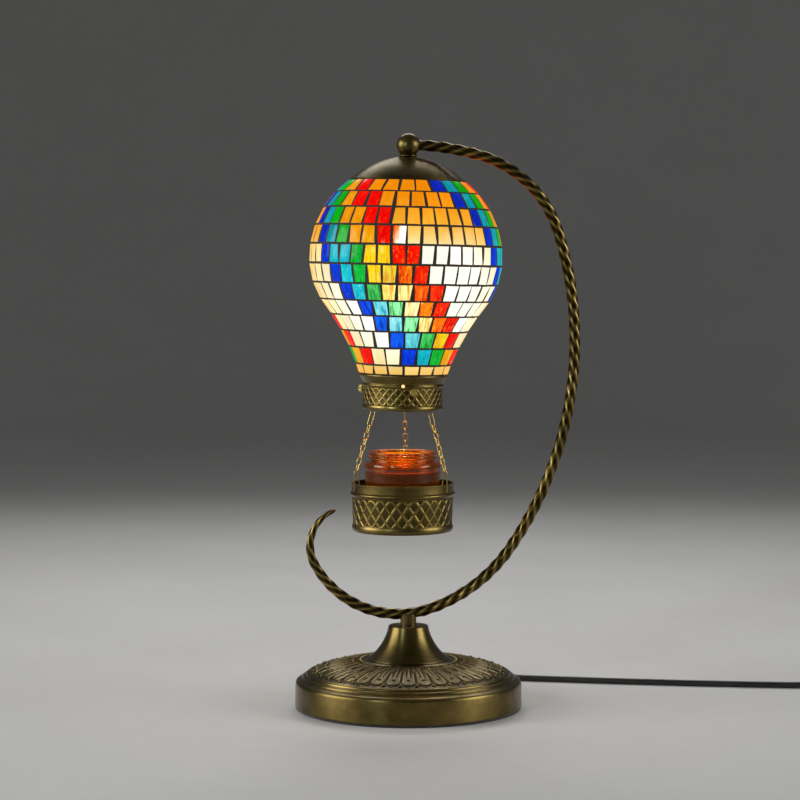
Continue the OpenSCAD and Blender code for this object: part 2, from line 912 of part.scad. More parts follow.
// Rubber strain relief in the rear of the foot
module cord_grommet() {
    color(black)
        rotate([0, 0, 90])
            translate([0, 0, exit_z])
                rotate([0, 90, 0])
                    rotate_extrude()
                        polygon([
                            [2.9, base_r - 4], [6.4, base_r - 4], [6.4, base_r - 2.2],
                            [grommet_r, base_r - 2.2], [grommet_r, base_r + 0.2],
                            [6.4, base_r + 0.2], [6.4, base_r + 2], [5, base_r + 2.6],
                            [3.6, grommet_end], [2.9, grommet_end]
                        ]);
}

// ---------------------------------------------------------------- cord, switch and plug
cord_r = cord_d / 2;
// Route on the table from the strain relief to the switch
LEAD = [
    [0, 124, 9], [0, 127, 9], [1, 132, 7.6], [5, 140, 5.4], [12, 146, 3.8], [21, 149, 2.9], [32, 149, 2.8],
    [44, 146, 2.8], [57, 141, 2.8], [70, 136, 2.8], [84, 131, 2.8], [98, 127, 2.8],
    [113, 123.5, 2.8], [128, 120.5, 2.8], [144, 117.5, 2.8], [160, 114.5, 2.8],
    [176, 111.5, 2.8], [192, 108.5, 2.8], [208, 106, 2.8], [224, 103.5, 2.8], [240, 101, 2.8],
    [256, 98.5, 2.8], [272, 96.5, 2.8], [288, 94.5, 2.8], [304, 92.5, 2.8], [320, 90.5, 2.8],
    [336, 89, 2.8], [350, 87.8, 2.8], [362, 87, 3.2], [372, 86.4, 4.2], [380, 86, 5],
    [386, 86, 5]
];
switch_x = 416;
switch_y = 86;
switch_l = 60;
switch_w = 24;
seam_z = 9.4;
// From the switch into the coil
LINK = [[446, 86, 5], [449, 86, 5], [457, 85.9, 4.4], [464, 85.6, 4], [471, 85.2, 3.7]];
coil_x = 486;
coil_y = 47;
coil_r = [27, 38];
coil_z = [0.8, 11.8];
// From the coil to the plug
END = [[471, 9, 8.2], [465, 9, 7.8], [459, 9, 7], [454, 9, 7]];
plug_x = 454;
plug_y = 9;

module cord_lead() {
    color(black)
        sweep(LEAD, cord_r, 10, [0, 0, 1]);
}

module cord_link() {
    color(black)
        sweep(LINK, cord_r, 10, [0, 0, 1]);
}

module cord_end() {
    color(black)
        sweep(END, cord_r, 10, [0, 0, 1]);
}

module cord_coil() {
    in = coil_r[0] - cord_r;
    out = coil_r[1] + cord_r;
    cut = 2.2;
    color(black)
        translate([coil_x, coil_y, 0])
            rotate_extrude()
                polygon([
                    [in + cut, coil_z[0]], [out - cut, coil_z[0]], [out, coil_z[0] + cut],
                    [out, coil_z[1] - cut], [out - cut, coil_z[1]], [in + cut, coil_z[1]],
                    [in, coil_z[1] - cut], [in, coil_z[0] + cut]
                ]);
}

// Strap round the turns of the coil
module cord_tie() {
    gap = 0.2;
    t = 0.6;
    strap_w = 9;
    // the turns bend away from the strap's inner edges
    in = coil_r[0] - cord_r - 0.7;
    out = coil_r[1] + cord_r + gap;
    high = coil_z[1] - coil_z[0] + 2 * gap;
    color("#2a2a2c")
        translate([coil_x, coil_y, 0])
            rotate([0, 0, 20])
                translate([(in + out) / 2, 0, (coil_z[0] + coil_z[1]) / 2])
                    difference() {
                        cube([out - in + 2 * t, strap_w, high + 2 * t], center = true);
                        cube([out - in, strap_w + 1, high], center = true);
                    }
}

// Block with upright rounded corners
module round_block(l, w, h, r) {
    linear_extrude(h) {
        square([l - 2 * r, w], center = true);
        square([l, w - 2 * r], center = true);
        for (x = [-1, 1])
            for (y = [-1, 1])
                translate([x * (l / 2 - r), y * (w / 2 - r)])
                    circle(r = r, $fn = 48);
    }
}

rocker_l = 19;
rocker_w = 11;
pivot_z = 14;
pivot_r = 1.2;

module at_switch(z) {
    translate([switch_x, switch_y, z])
        children();
}

module switch_lower() {
    color(black)
        difference() {
            at_switch(0)
                round_block(switch_l, switch_w, seam_z, 7);
            at_switch(2)
                round_block(switch_l - 16, switch_w - 4, seam_z, 5);
            at_switch(2)
                for (x = [-1, 1])
                    translate([x * 24.5, 0, 0])
                        cylinder(r = 1.2, h = 20, $fn = 24);
        }
}

module switch_upper() {
    color(black)
        difference() {
            at_switch(seam_z + 0.1)
                union() {
                    round_block(switch_l, switch_w, 5, 7);
                    round_block(switch_l - 2.4, switch_w - 2.4, 6.2, 6);
                }
            at_switch(seam_z)
                translate([-rocker_l / 2 - 1, -rocker_w / 2 - slack, -1])
                    cube([rocker_l + 2, rocker_w + 2 * slack, 20]);
            at_switch(pivot_z)
                rotate([90, 0, 0])
                    cylinder(r = pivot_r + 0.2, h = rocker_w + 5, center = true, $fn = 32);
            at_switch(seam_z - 1)
                for (x = [-1, 1])
                    translate([x * 24.5, 0, 0]) {
                        cylinder(r = 1.5, h = 20, $fn = 24);
                        translate([0, 0, 5.4])
                            cylinder(r = 2.6, h = 20, $fn = 24);
                    }
        }
}

// Rests pressed down at its +X end, switched on
module switch_rocker() {
    lean = 7;
    color("#2c2c2e")
        at_switch(pivot_z)
            rotate([0, lean, 0]) {
                rotate([90, 0, 0]) {
                    linear_extrude(rocker_w - 2 * slack, center = true)
                        polygon([
                            [-rocker_l / 2, 3.4], [-rocker_l / 2 + 1, 4], [0, 2.6],
                            [rocker_l / 2 - 1, 4], [rocker_l / 2, 3.4], [rocker_l / 2, 0.6],
                            [3, -1.6], [1.4, -3.4], [-1.4, -3.4], [-3, -1.6], [-rocker_l / 2, 0.6]
                        ]);
                    cylinder(r = pivot_r, h = rocker_w + 3.6, center = true, $fn = 32);
                }
            }
}

module switch_screws() {
    color(steel)
        at_switch(0)
            for (x = [-1, 1])
                translate([x * 24.5, 0, 0])
                    difference() {
                        union() {
                            translate([0, 0, 3])
                                cylinder(r = 1.15, h = 12, $fn = 24);
                            translate([0, 0, 14.0])
                                cylinder(r = 2.3, h = 1.3, $fn = 32);
                        }
                        translate([-2, -0.3, 14.8])
                            cube([4, 0.6, 2]);
                        translate([-0.3, -2, 14.8])
                            cube([0.6, 4, 2]);
                    }
}

// Flat two-pin plug, cord side towards +X
module plug_body() {
    color(black)
        translate([plug_x, plug_y, 0]) {
            difference() {
                translate([0, 0, 0.2])
                    linear_extrude(13.6)
                        polygon([
                            [-4, -4.6], [-12, -6], [-20, -11], [-26, -13], [-36, -13],
                            [-36, 13], [-26, 13], [-20, 11], [-12, 6], [-4, 4.6]
                        ]);
                for (y = [-9.3, 9.3])
                    translate([-37, y, 7])
                        rotate([0, 90, 0])
                            cylinder(r = 2.05, h = 9, $fn = 32);
            }
            translate([-4, 0, 7])
                rotate([0, 90, 0])
                    cylinder(r1 = 4.4, r2 = 3.6, h = 4, $fn = 48);
        }
}

module plug_pins() {
    color(steel)
        translate([plug_x, plug_y, 7])
            for (y = [-9.3, 9.3])
                translate([-55, y, 0])
                    rotate([0, 90, 0]) {
                        translate([0, 0, 1])
                            cylinder(r = 2, h = 26, $fn = 32);
                        cylinder(r1 = 1.2, r2 = 2, h = 1, $fn = 32);
                    }
}

base_shell();
base_weight();
base_felt();
base_cone();
stem_post();
stem_washer();
stem_nut();
arm_tube();
arm_tail();
arm_ball();
top_nipple();
neck_ring();
cap_dome();
shade_holder();
holder_nut();
socket_shell();
socket_liner();
socket_contact();
bulb_screw_cap();
bulb_neck();
bulb_globe();
bulb_led_board();
shade_glass();
grout();
tiles_white();
tiles_blue();
tiles_turquoise();
tiles_green();
tiles_amber();
tiles_orange();
tiles_red();
collar();
thumb_screw_front();
thumb_screw_left();
thumb_screw_back();
chain_left();
chain_right();
chain_back();
basket_wall();
basket_floor();
jar_glass();
jar_wax();
inner_wire();
cord_grommet();
cord_lead();
switch_lower();
switch_upper();
switch_rocker();
switch_screws();
cord_link();
cord_coil();
cord_tie();
cord_end();
plug_body();
plug_pins();
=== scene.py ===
import math
import random

import bpy
import numpy as np
from mathutils import Matrix, Vector


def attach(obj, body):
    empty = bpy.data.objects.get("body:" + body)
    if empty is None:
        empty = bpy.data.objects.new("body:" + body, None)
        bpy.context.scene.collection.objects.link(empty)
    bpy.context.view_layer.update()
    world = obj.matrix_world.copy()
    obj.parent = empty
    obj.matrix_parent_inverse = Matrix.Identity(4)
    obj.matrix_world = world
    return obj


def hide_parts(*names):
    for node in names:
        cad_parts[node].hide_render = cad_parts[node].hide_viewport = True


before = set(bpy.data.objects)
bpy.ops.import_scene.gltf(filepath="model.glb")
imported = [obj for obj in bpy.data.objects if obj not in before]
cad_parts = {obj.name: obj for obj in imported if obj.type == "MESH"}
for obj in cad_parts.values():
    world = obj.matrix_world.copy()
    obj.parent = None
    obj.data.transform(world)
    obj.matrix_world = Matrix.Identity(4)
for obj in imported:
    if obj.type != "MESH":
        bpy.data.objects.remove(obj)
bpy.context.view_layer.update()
scene = bpy.context.scene
MM = 0.001


def new_object(name, data):
    ob = bpy.data.objects.new(name, data)
    scene.collection.objects.link(ob)
    return ob


# ---- camera
cam_data = bpy.data.cameras.new("camera")
cam = new_object("camera", cam_data)
cam.location = (-0.0073, -2.055, 0.390)
cam.rotation_euler = (math.radians(90 - 3.39), 0, 0)
cam_data.sensor_width = 36
cam_data.lens = 106.7
cam_data.clip_start = 0.05
cam_data.clip_end = 100
scene.camera = cam

# ---- places shared with the CAD; numbers are in mm, BALLOON and HANG in metres
def turned(deg, axis="Z"):
    return Matrix.Rotation(math.radians(deg), 4, axis)


def moved(x, y, z):
    return Matrix.Translation((x, y, z))


# the balloon leans about the ball on top, and the basket hangs straight down from its collar
TILT_DEG = 1.3
BALL_Z = 488.4
HOOK_R, HOOK_Z = 27.1, 262.6
BALLOON = moved(0, 0, BALL_Z * MM) @ turned(TILT_DEG, "Y") @ moved(0, 0, -BALL_Z * MM)
HANG = moved(-(BALL_Z - HOOK_Z) * math.sin(math.radians(TILT_DEG)) * MM, 0, 0)
STILL = Matrix.Identity(4)
# bearings round the shade and the collar, in degrees from the front
SCREWS = {"front": 14, "left": -106, "back": 134}
CHAINS = {"left": -64, "right": 56, "back": 176}
PEEPHOLES = (0, 120, 240)


# ---- cord
def smooth_path(points, step):
    """Catmull-Rom curve through the points, about step apart."""
    p = [np.array(q, float) for q in points]
    p = [2 * p[0] - p[1], *p, 2 * p[-1] - p[-2]]
    out = []
    for i in range(1, len(p) - 2):
        a, b, c, d = p[i - 1], p[i], p[i + 1], p[i + 2]
        n = max(2, int(round(np.linalg.norm(c - b) / step)))
        for k in range(n):
            t = k / n
            out.append(0.5 * (2 * b + (c - a) * t + (2 * a - 5 * b + 4 * c - d) * t * t
                              + (3 * b - a - 3 * c + d) * t ** 3))
    out.append(p[-2])
    return out


# middle line of the cord from the foot to the switch, on to the coil, and from the coil into the plug
LEAD = [
    [0, 104, 9], [0, 114, 9], [0, 124, 9], [0, 127, 9], [1, 132, 7.6], [5, 140, 5.4], [12, 146, 3.8],
    [21, 149, 2.9], [32, 149, 2.8], [44, 146, 2.8], [57, 141, 2.8], [70, 136, 2.8], [84, 131, 2.8],
    [98, 127, 2.8], [113, 123.5, 2.8], [128, 120.5, 2.8], [144, 117.5, 2.8], [160, 114.5, 2.8],
    [176, 111.5, 2.8], [192, 108.5, 2.8], [208, 106, 2.8], [224, 103.5, 2.8], [240, 101, 2.8],
    [256, 98.5, 2.8], [272, 96.5, 2.8], [288, 94.5, 2.8], [304, 92.5, 2.8], [320, 90.5, 2.8], [336, 89, 2.8],
    [350, 87.8, 2.8], [362, 87, 3.2], [372, 86.4, 4.2], [380, 86, 5], [386, 86, 5],
]
LINK = [[406, 86, 5], [426, 86, 5], [446, 86, 5], [449, 86, 5], [457, 85.9, 4.4], [464, 85.6, 4],
        [471, 85.2, 3.7]]
END = [[471, 9, 8.2], [465, 9, 7.8], [459, 9, 7], [452, 9, 7]]
CORD_D = 5.5
# middle of the coil, radius of its outer turn and heights of its two layers
COIL = (486, 47)
COIL_R = 38
COIL_LOW, COIL_HIGH = 3.55, 9.05


def ease(t):
    """Smooth step from 0 to 1."""
    t = min(1, max(0, t))
    return t * t * (3 - 2 * t)


def coil_points():
    """Five and a half turns in two layers: inwards below, up at the inner turn, outwards above.
    The cord takes a sixth of a turn to change its radius or its layer."""
    def change(f, start):
        return ease((f - start) / 60)

    out = []
    for f in np.arange(6, 5.5 * 360 + 0.1, 6):
        r = COIL_R - CORD_D * (change(f, 300) + change(f, 660) - change(f, 1260) - change(f, 1620))
        z = COIL_LOW + (COIL_HIGH - COIL_LOW) * change(f, 960)
        a = math.radians(90 - f)
        out.append([COIL[0] + r * math.cos(a), COIL[1] + r * math.sin(a), z])
    return out


route = smooth_path(LEAD + LINK, 3) + coil_points() + smooth_path(END, 3)
curve = bpy.data.curves.new("power_cord", "CURVE")
curve.dimensions = "3D"
curve.bevel_depth = CORD_D / 2 * MM
curve.bevel_resolution = 4
curve.use_fill_caps = True
line = curve.splines.new("POLY")
line.points.add(len(route) - 1)
for point, p in zip(line.points, route):
    point.co = (p[0] * MM, p[1] * MM, p[2] * MM, 1)
line.use_smooth = True
cord = new_object("power_cord", curve)


# ---- mesh helpers
def mesh_piece(name, verts, faces, mat, body, nodes, place, sharp, floats, vectors):
    """A piece from vertices in mm: its attributes, material, body and the CAD nodes that it stands for."""
    me = bpy.data.meshes.new(name)
    co = np.array(verts, float) * MM
    me.from_pydata(co.tolist(), [], [list(f) for f in faces])
    for kind, field, table in (("FLOAT", "value", floats), ("FLOAT_VECTOR", "vector", vectors)):
        for key, values in table.items():
            data = me.attributes.new(key, kind, "POINT").data
            data.foreach_set(field, np.array(values, np.float32).ravel())
    me.materials.append(mat)
    me.transform(place)
    me.validate()
    me.shade_smooth()
    me.set_sharp_from_angle(angle=math.radians(sharp))
    ob = new_object(name, me)
    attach(ob, body)
    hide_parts(*nodes)


def grid_faces(rings, n, around=False, closed=False, flip=False):
    """Faces between rings of n points. around joins the last ring to the first, and closed the last
    point of each ring to its first."""
    faces = []
    for a in range(rings if around else rings - 1):
        b = (a + 1) % rings
        for p in range(n if closed else n - 1):
            q = (p + 1) % n
            face = [a * n + p, b * n + p, b * n + q, a * n + q]
            faces.append(face[:1] + face[:0:-1] if flip else face)
    return faces


def end_caps(rings, n):
    """Faces that close the first and the last ring of a tube or block."""
    return [tuple(range(n)), tuple((rings - 1) * n + k for k in reversed(range(n)))]


# brushing coordinate gained in a radian round a turned part
RING_SCALE = 0.35


class Shape:
    """Vertices and faces of several parts, each vertex with a value of wear, painted shade and painted
    highlight, and brushing coordinates.
    """

    def __init__(self):
        self.v, self.f, self.wear, self.ring = [], [], [], []

    def add(self, verts, faces, wear=None, ring=None, at=None):
        n = len(self.v)
        verts = [tuple(p) for p in verts]
        if at is not None:
            verts = [tuple(at @ Vector(p)) for p in verts]
        self.v += verts
        self.f += [tuple(i + n for i in f) for f in faces]
        self.wear += list(wear) if wear is not None else [0.5] * len(verts)
        self.ring += [tuple(p) for p in ring] if ring is not None else verts

    def lathe(self, profile, seg=144, closed=False, soft=0.4, lift=None, at=None):
        """Turns a profile of (r, z) round Z. lift(angle, r) raises a vertex and returns its value of wear and
        painted shade too.
        """
        prof = soften(profile, soft, closed) if soft else [tuple(p) for p in profile]
        n = len(prof)
        prof_s = np.concatenate([[0], np.cumsum([math.dist(a, b) for a, b in zip(prof, prof[1:])])])
        verts, wear, ring = [], [], []
        for j in range(seg):
            a = 2 * math.pi * j / seg
            for i, (r, z) in enumerate(prof):
                dz, w = lift(a, r) if lift else (0, 0.5)
                verts.append((r * math.cos(a), r * math.sin(a), z + dz))
                wear.append(w)
                ring.append((prof_s[i], a * RING_SCALE, 0))
        self.add(verts, grid_faces(seg, n, around=True, closed=closed), wear, ring, at)

    def sweep(self, path, radius, sides=10, loop=False, section=None, at=None, wear=0.5):
        """Tube along a path in mm; section(i, angle) gives (distance, value of wear and painted shade)."""
        p = np.array(path, float)
        n = len(p)
        t = np.roll(p, -1, 0) - np.roll(p, 1, 0)
        if not loop:
            t[0], t[-1] = p[1] - p[0], p[-1] - p[-2]
        t /= np.linalg.norm(t, axis=1)[:, None]
        a = np.cross(t, (0, 1, 0))
        a /= np.linalg.norm(a, axis=1)[:, None]
        b = np.cross(a, t)
        verts, w, ring = [], [], []
        s = 0
        for i in range(n):
            s += np.linalg.norm(p[i] - p[i - 1]) if i else 0
            for k in range(sides):
                f = 2 * math.pi * k / sides
                d, wr = section(i, f) if section else (radius, wear)
                verts.append(p[i] + d * (math.cos(f) * a[i] + math.sin(f) * b[i]))
                w.append(wr)
                ring.append((d * f, s * 0.2, 0))
        faces = grid_faces(n, sides, around=loop, closed=True)
        if not loop:
            faces += end_caps(n, sides)
        self.add(verts, faces, w, ring, at)

    def piece(self, name, mat, body, nodes, slot, place=STILL, sharp=35):
        mesh_piece(name, self.v, self.f, mat, body, nodes, place, sharp,
                   floats={"wear": self.wear}, vectors={"ring": self.ring})


def soften(profile, radius, closed):
    """Rounds the corners of a profile with short arcs."""
    p = [np.array(q, float) for q in profile]
    n = len(p)
    out = []
    for i in range(n):
        if not closed and i in (0, n - 1):
            out.append(tuple(p[i]))
            continue
        a, b, c = p[i - 1], p[i], p[(i + 1) % n]
        la, lc = np.linalg.norm(a - b), np.linalg.norm(c - b)
        d = min(radius, la * 0.4, lc * 0.4)
        u, v = b + (a - b) / la * d, b + (c - b) / lc * d
        for t in (0, 0.33, 0.67, 1):
            out.append(tuple((1 - t) ** 2 * u + 2 * t * (1 - t) * b + t * t * v))
    return out


# ---- materials
def new_material(name):
    m = bpy.data.materials.new(name)
    m.use_nodes = True
    nt = m.node_tree
    return m, nt, nt.nodes["Principled BSDF"]


def add_node(nt, kind, **settings):
    n = nt.nodes.new(kind)
    for key, value in settings.items():
        if key in n.inputs:
            n.inputs[key].default_value = value
        else:
            setattr(n, key, value)
    return n


def feed(nt, node, values):
    """Links each named input of a node to another node's output, or sets it to a value."""
    for key, value in values.items():
        socket = node.inputs[key]
        if isinstance(value, bpy.types.NodeSocket):
            nt.links.new(value, socket)
        else:
            socket.default_value = (*value, 1) if isinstance(value, tuple) else value


def noise(nt, vector, scale, detail=3, rough=0.5, distortion=0.0):
    n = add_node(nt, "ShaderNodeTexNoise", Scale=scale, Detail=detail, Roughness=rough, Distortion=distortion)
    nt.links.new(vector, n.inputs["Vector"])
    return n.outputs["Fac"]


def ramp(nt, fac, stops):
    n = nt.nodes.new("ShaderNodeValToRGB")
    e = n.color_ramp.elements
    while len(e) < len(stops):
        e.new(0.5)
    for el, (pos, col) in zip(e, stops):
        el.position = pos
        el.color = (*col, 1)
    nt.links.new(fac, n.inputs["Fac"])
    return n.outputs["Color"]


def mix(nt, fac, a, b, blend="MIX"):
    n = add_node(nt, "ShaderNodeMix", data_type="RGBA", blend_type=blend)
    feed(nt, n, {"Factor": fac, 6: a, 7: b})
    return n.outputs[2]


def calc(nt, op, a, b, clamp=False):
    n = add_node(nt, "ShaderNodeMath", operation=op, use_clamp=clamp)
    feed(nt, n, {0: a, 1: b})
    return n.outputs[0]


def plus(nt, a, b, clamp=False):
    return calc(nt, "ADD", a, b, clamp)


def times(nt, a, b, clamp=False):
    return calc(nt, "MULTIPLY", a, b, clamp)


def attribute(nt, name, out="Fac"):
    return add_node(nt, "ShaderNodeAttribute", attribute_name=name).outputs[out]


def coords(nt, scale=(1, 1, 1), name=None):
    """Object coordinates, or a vector attribute, stretched by scale."""
    src = attribute(nt, name, "Vector") if name else add_node(nt, "ShaderNodeTexCoord").outputs["Object"]
    mp = add_node(nt, "ShaderNodeMapping", Scale=scale)
    nt.links.new(src, mp.inputs["Vector"])
    return mp.outputs["Vector"]


def bump(nt, bsdf, height, strength, distance):
    n = add_node(nt, "ShaderNodeBump", Strength=strength, Distance=distance)
    nt.links.new(height, n.inputs["Height"])
    nt.links.new(n.outputs["Normal"], bsdf.inputs["Normal"])


def brass(name, dark, mid, bright, worn_and_shaded=True, brushed=True, rough=(0.24, 0.42), spun=0.0):
    """Metal with cloudy tones. worn_and_shaded darkens its hollows with patina and painted shade and
    brightens its edges with rubbed metal and painted highlights, brushed draws fine lines along the brushing
    coordinates, and spun stretches its gloss round the Z axis."""
    m, nt, b = new_material(name)
    cloud = noise(nt, coords(nt, (26, 26, 26)), 1, 5, 0.6)
    fine = noise(nt, coords(nt, (420, 420, 420)), 1, 2, 0.6)
    lines = noise(nt, coords(nt, (9, 0.35, 1), "ring"), 1, 3, 0.7) if brushed else fine
    tone = plus(nt, times(nt, cloud, 0.75), times(nt, lines, 0.25))
    colour = ramp(nt, tone, [(0.30, dark), (0.50, mid), (0.74, bright)])
    if worn_and_shaded:
        # patina and painted shade darken the hollows down to a tenth of the colour, and rubbed metal and
        # painted highlights lighten the edges up to 2.4 times
        wear = attribute(nt, "wear")
        edge = ramp(nt, wear, [(0.0, (0.10, 0.095, 0.085)), (0.5, (0.95, 0.95, 0.95)),
                               (1.0, (2.4, 2.25, 1.8))])
        colour = mix(nt, 1.0, colour, edge, "MULTIPLY")
    gloss = ramp(nt, plus(nt, times(nt, cloud, 0.5), times(nt, lines, 0.5)),
                 [(0.3, (rough[1],) * 3), (0.7, (rough[0],) * 3)])
    feed(nt, b, {"Metallic": 1, "Base Color": colour, "Roughness": gloss})
    bump(nt, b, plus(nt, lines, times(nt, fine, 0.3)), 0.12, 0.0002)
    if spun:
        round_axis = add_node(nt, "ShaderNodeTangent", direction_type="RADIAL", axis="Z")
        feed(nt, b, {"Anisotropic": spun, "Anisotropic Rotation": 0.25,
                     "Tangent": round_axis.outputs["Tangent"]})
    return m


# dark, middle and bright tones of the two brass finishes
ANTIQUE = ((0.052, 0.038, 0.012), (0.155, 0.112, 0.034), (0.30, 0.215, 0.068))
DARK = ((0.030, 0.022, 0.008), (0.105, 0.078, 0.028), (0.24, 0.18, 0.07))

spun_brass = brass("spun_brass", *ANTIQUE, rough=(0.26, 0.40), spun=0.75)
antique = brass("antique_brass", *ANTIQUE)
dark_brass = brass("dark_brass", *DARK)
plain_brass = brass("dark_brass_plain", *DARK, worn_and_shaded=False, brushed=False)
chain_brass = brass("chain_brass", (0.16, 0.10, 0.028), (0.42, 0.28, 0.075), (0.72, 0.50, 0.16),
                    rough=(0.2, 0.34))
# the thumb screws' brass is lighter than the dark brass they are made of: painted highlight on their knurled
# heads
screw_brass = brass("screw_brass", (0.26, 0.18, 0.050), (0.55, 0.40, 0.12), (0.85, 0.65, 0.24),
                    rough=(0.34, 0.48))
steel = brass("zinc_steel", (0.22, 0.22, 0.21), (0.42, 0.42, 0.40), (0.62, 0.61, 0.58), worn_and_shaded=False,
              brushed=False)
bright_brass = brass("bright_brass", (0.36, 0.26, 0.10), (0.62, 0.46, 0.19), (0.82, 0.64, 0.3), worn_and_shaded=False,
                     brushed=False)
nickel = brass("nickel", (0.34, 0.33, 0.31), (0.56, 0.54, 0.5), (0.72, 0.7, 0.66), worn_and_shaded=False, brushed=False,
               rough=(0.12, 0.25))


def rough_material(name, dark, light, scale, roughness, bump_strength, bump_distance, sheen=0.0, coat=0.0):
    """Plain dielectric with mottled colour, uneven gloss and a fine surface."""
    m, nt, b = new_material(name)
    big = noise(nt, coords(nt, (scale * 0.12,) * 3), 1, 3)
    small = noise(nt, coords(nt, (scale,) * 3), 1, 4, 0.65)
    tone = plus(nt, times(nt, big, 0.5), times(nt, small, 0.5))
    gloss = ramp(nt, big, [(0.35, (roughness[0],) * 3), (0.65, (roughness[1],) * 3)])
    feed(nt, b, {"Base Color": ramp(nt, tone, [(0.36, dark), (0.64, light)]), "Roughness": gloss,
                 "Sheen Weight": sheen, "Coat Weight": coat, "Coat Roughness": 0.12})
    bump(nt, b, small, bump_strength, bump_distance)
    return m


felt = rough_material("felt", (0.006, 0.006, 0.006), (0.03, 0.029, 0.028), 1500, (0.9, 1.0), 0.8, 0.0006,
                      sheen=0.4)
iron = rough_material("cast_iron", (0.03, 0.03, 0.032), (0.10, 0.10, 0.10), 300, (0.55, 0.8), 0.6, 0.0006)
bakelite = rough_material("black_bakelite", (0.006, 0.006, 0.006), (0.018, 0.018, 0.018), 500, (0.22, 0.36),
                          0.1, 0.0002)
plastic = rough_material("black_plastic", (0.008, 0.008, 0.009), (0.020, 0.020, 0.021), 1800, (0.34, 0.48),
                         0.35, 0.00012)
rocker_mat = rough_material("rocker_plastic", (0.012, 0.012, 0.013), (0.028, 0.028, 0.03), 1200, (0.2, 0.32),
                            0.15, 0.0001, coat=0.3)
rubber = rough_material("black_rubber", (0.008, 0.008, 0.008), (0.022, 0.021, 0.021), 1400, (0.5, 0.66), 0.4,
                        0.0002)
pvc = rough_material("cord_pvc", (0.006, 0.006, 0.006), (0.018, 0.018, 0.019), 900, (0.30, 0.44), 0.2,
                     0.00015)
strap = rough_material("tie_strap", (0.01, 0.01, 0.011), (0.035, 0.035, 0.037), 2600, (0.6, 0.8), 0.7, 0.0003,
                       sheen=0.3)
sheath = rough_material("wire_sheath", (0.50, 0.48, 0.42), (0.66, 0.64, 0.58), 600, (0.4, 0.55), 0.1, 0.0002)
white_plastic = rough_material("white_plastic", (0.62, 0.61, 0.57), (0.74, 0.73, 0.69), 900, (0.35, 0.5), 0.1,
                               0.0001)
# the grout's near-black colour is in part painted shade, for lines that stay unlit between the glowing tiles
grout_mat = rough_material("grout", (0.016, 0.011, 0.007), (0.060, 0.040, 0.026), 900, (0.7, 0.95), 0.9,
                           0.0005)


def glowing(name, base, glow, strength, roughness):
    """Lit white glass or plastic with a faint cloud in it."""
    m, nt, b = new_material(name)
    cloud = noise(nt, coords(nt, (60, 60, 60)), 1, 3)
    colour = mix(nt, times(nt, cloud, 0.35), glow, tuple(c * 0.8 for c in glow))
    feed(nt, b, {"Emission Color": colour, "Emission Strength": strength,
                 "Base Color": mix(nt, cloud, base, tuple(c * 0.9 for c in base)), "Roughness": roughness})
    return m


bulb_mat = glowing("bulb_glass", (0.9, 0.86, 0.78), (1, 0.82, 0.55), 9, 0.35)
led_mat = glowing("led_board", (0.9, 0.88, 0.8), (1, 0.85, 0.6), 5, 0.5)
shade_mat = glowing("shade_glass", (0.75, 0.66, 0.5), (1, 0.60, 0.24), 1.5, 0.25)


def tile_material(name, stops, dark, fleck, flecked):
    """Lit mosaic glass. cell holds mm across and down the tile and a number per tile; lit is how
    much of the bulb's light reaches it, 1 in the belly of the shade and 2 right before the bulb."""
    m, nt, b = new_material(name)
    cell = attribute(nt, "cell", "Vector")
    lit = attribute(nt, "lit")
    parts = add_node(nt, "ShaderNodeSeparateXYZ")
    nt.links.new(cell, parts.inputs[0])
    own = parts.outputs["Z"]
    fine = noise(nt, coords(nt, (0.55, 0.055, 3), "cell"), 1, 4, 0.6, 0.5)
    wide = noise(nt, coords(nt, (0.24, 0.08, 5), "cell"), 1, 2, 0.5, 0.8)
    cloud = times(nt, calc(nt, "SUBTRACT", wide, 0.5), 0.5 if flecked else 0.12)
    colour = ramp(nt, times(nt, plus(nt, lit, cloud), 0.5), stops)
    if flecked:
        busy = plus(nt, times(nt, lit, 0.75), 0.22, clamp=True)
        mott = noise(nt, coords(nt, (0.30, 0.17, 7), "cell"), 1, 4, 0.65, 1.6)
        streak = ramp(nt, fine, [(0.46, (0, 0, 0)), (0.62, (0.85,) * 3)])
        colour = mix(nt, times(nt, streak, busy), colour, dark)
        spots = ramp(nt, mott, [(0.54, (0, 0, 0)), (0.68, (flecked,) * 3)])
        colour = mix(nt, times(nt, spots, busy), colour, fleck)
        glow = plus(nt, 0.70, times(nt, wide, 0.60))
    else:
        glow = plus(nt, 0.96, times(nt, wide, 0.10))
    glow = times(nt, glow, plus(nt, 0.90, times(nt, own, 0.18)))
    glow = times(nt, glow, plus(nt, 0.94, times(nt, lit, 0.14)))
    hot = calc(nt, "SUBTRACT", plus(nt, lit, times(nt, wide, 1.2)), 2.6, clamp=True)
    colour = mix(nt, times(nt, hot, 1.3, clamp=True), colour, (1.0, 0.96, 0.86))
    feed(nt, b, {"Emission Color": colour, "Emission Strength": glow,
                 "Base Color": mix(nt, 1.0, colour, (0.05, 0.05, 0.05), "MULTIPLY"),
                 "Roughness": 0.14, "Specular IOR Level": 0.10})
    bump(nt, b, fine, 0.25, 0.0003)
    return m


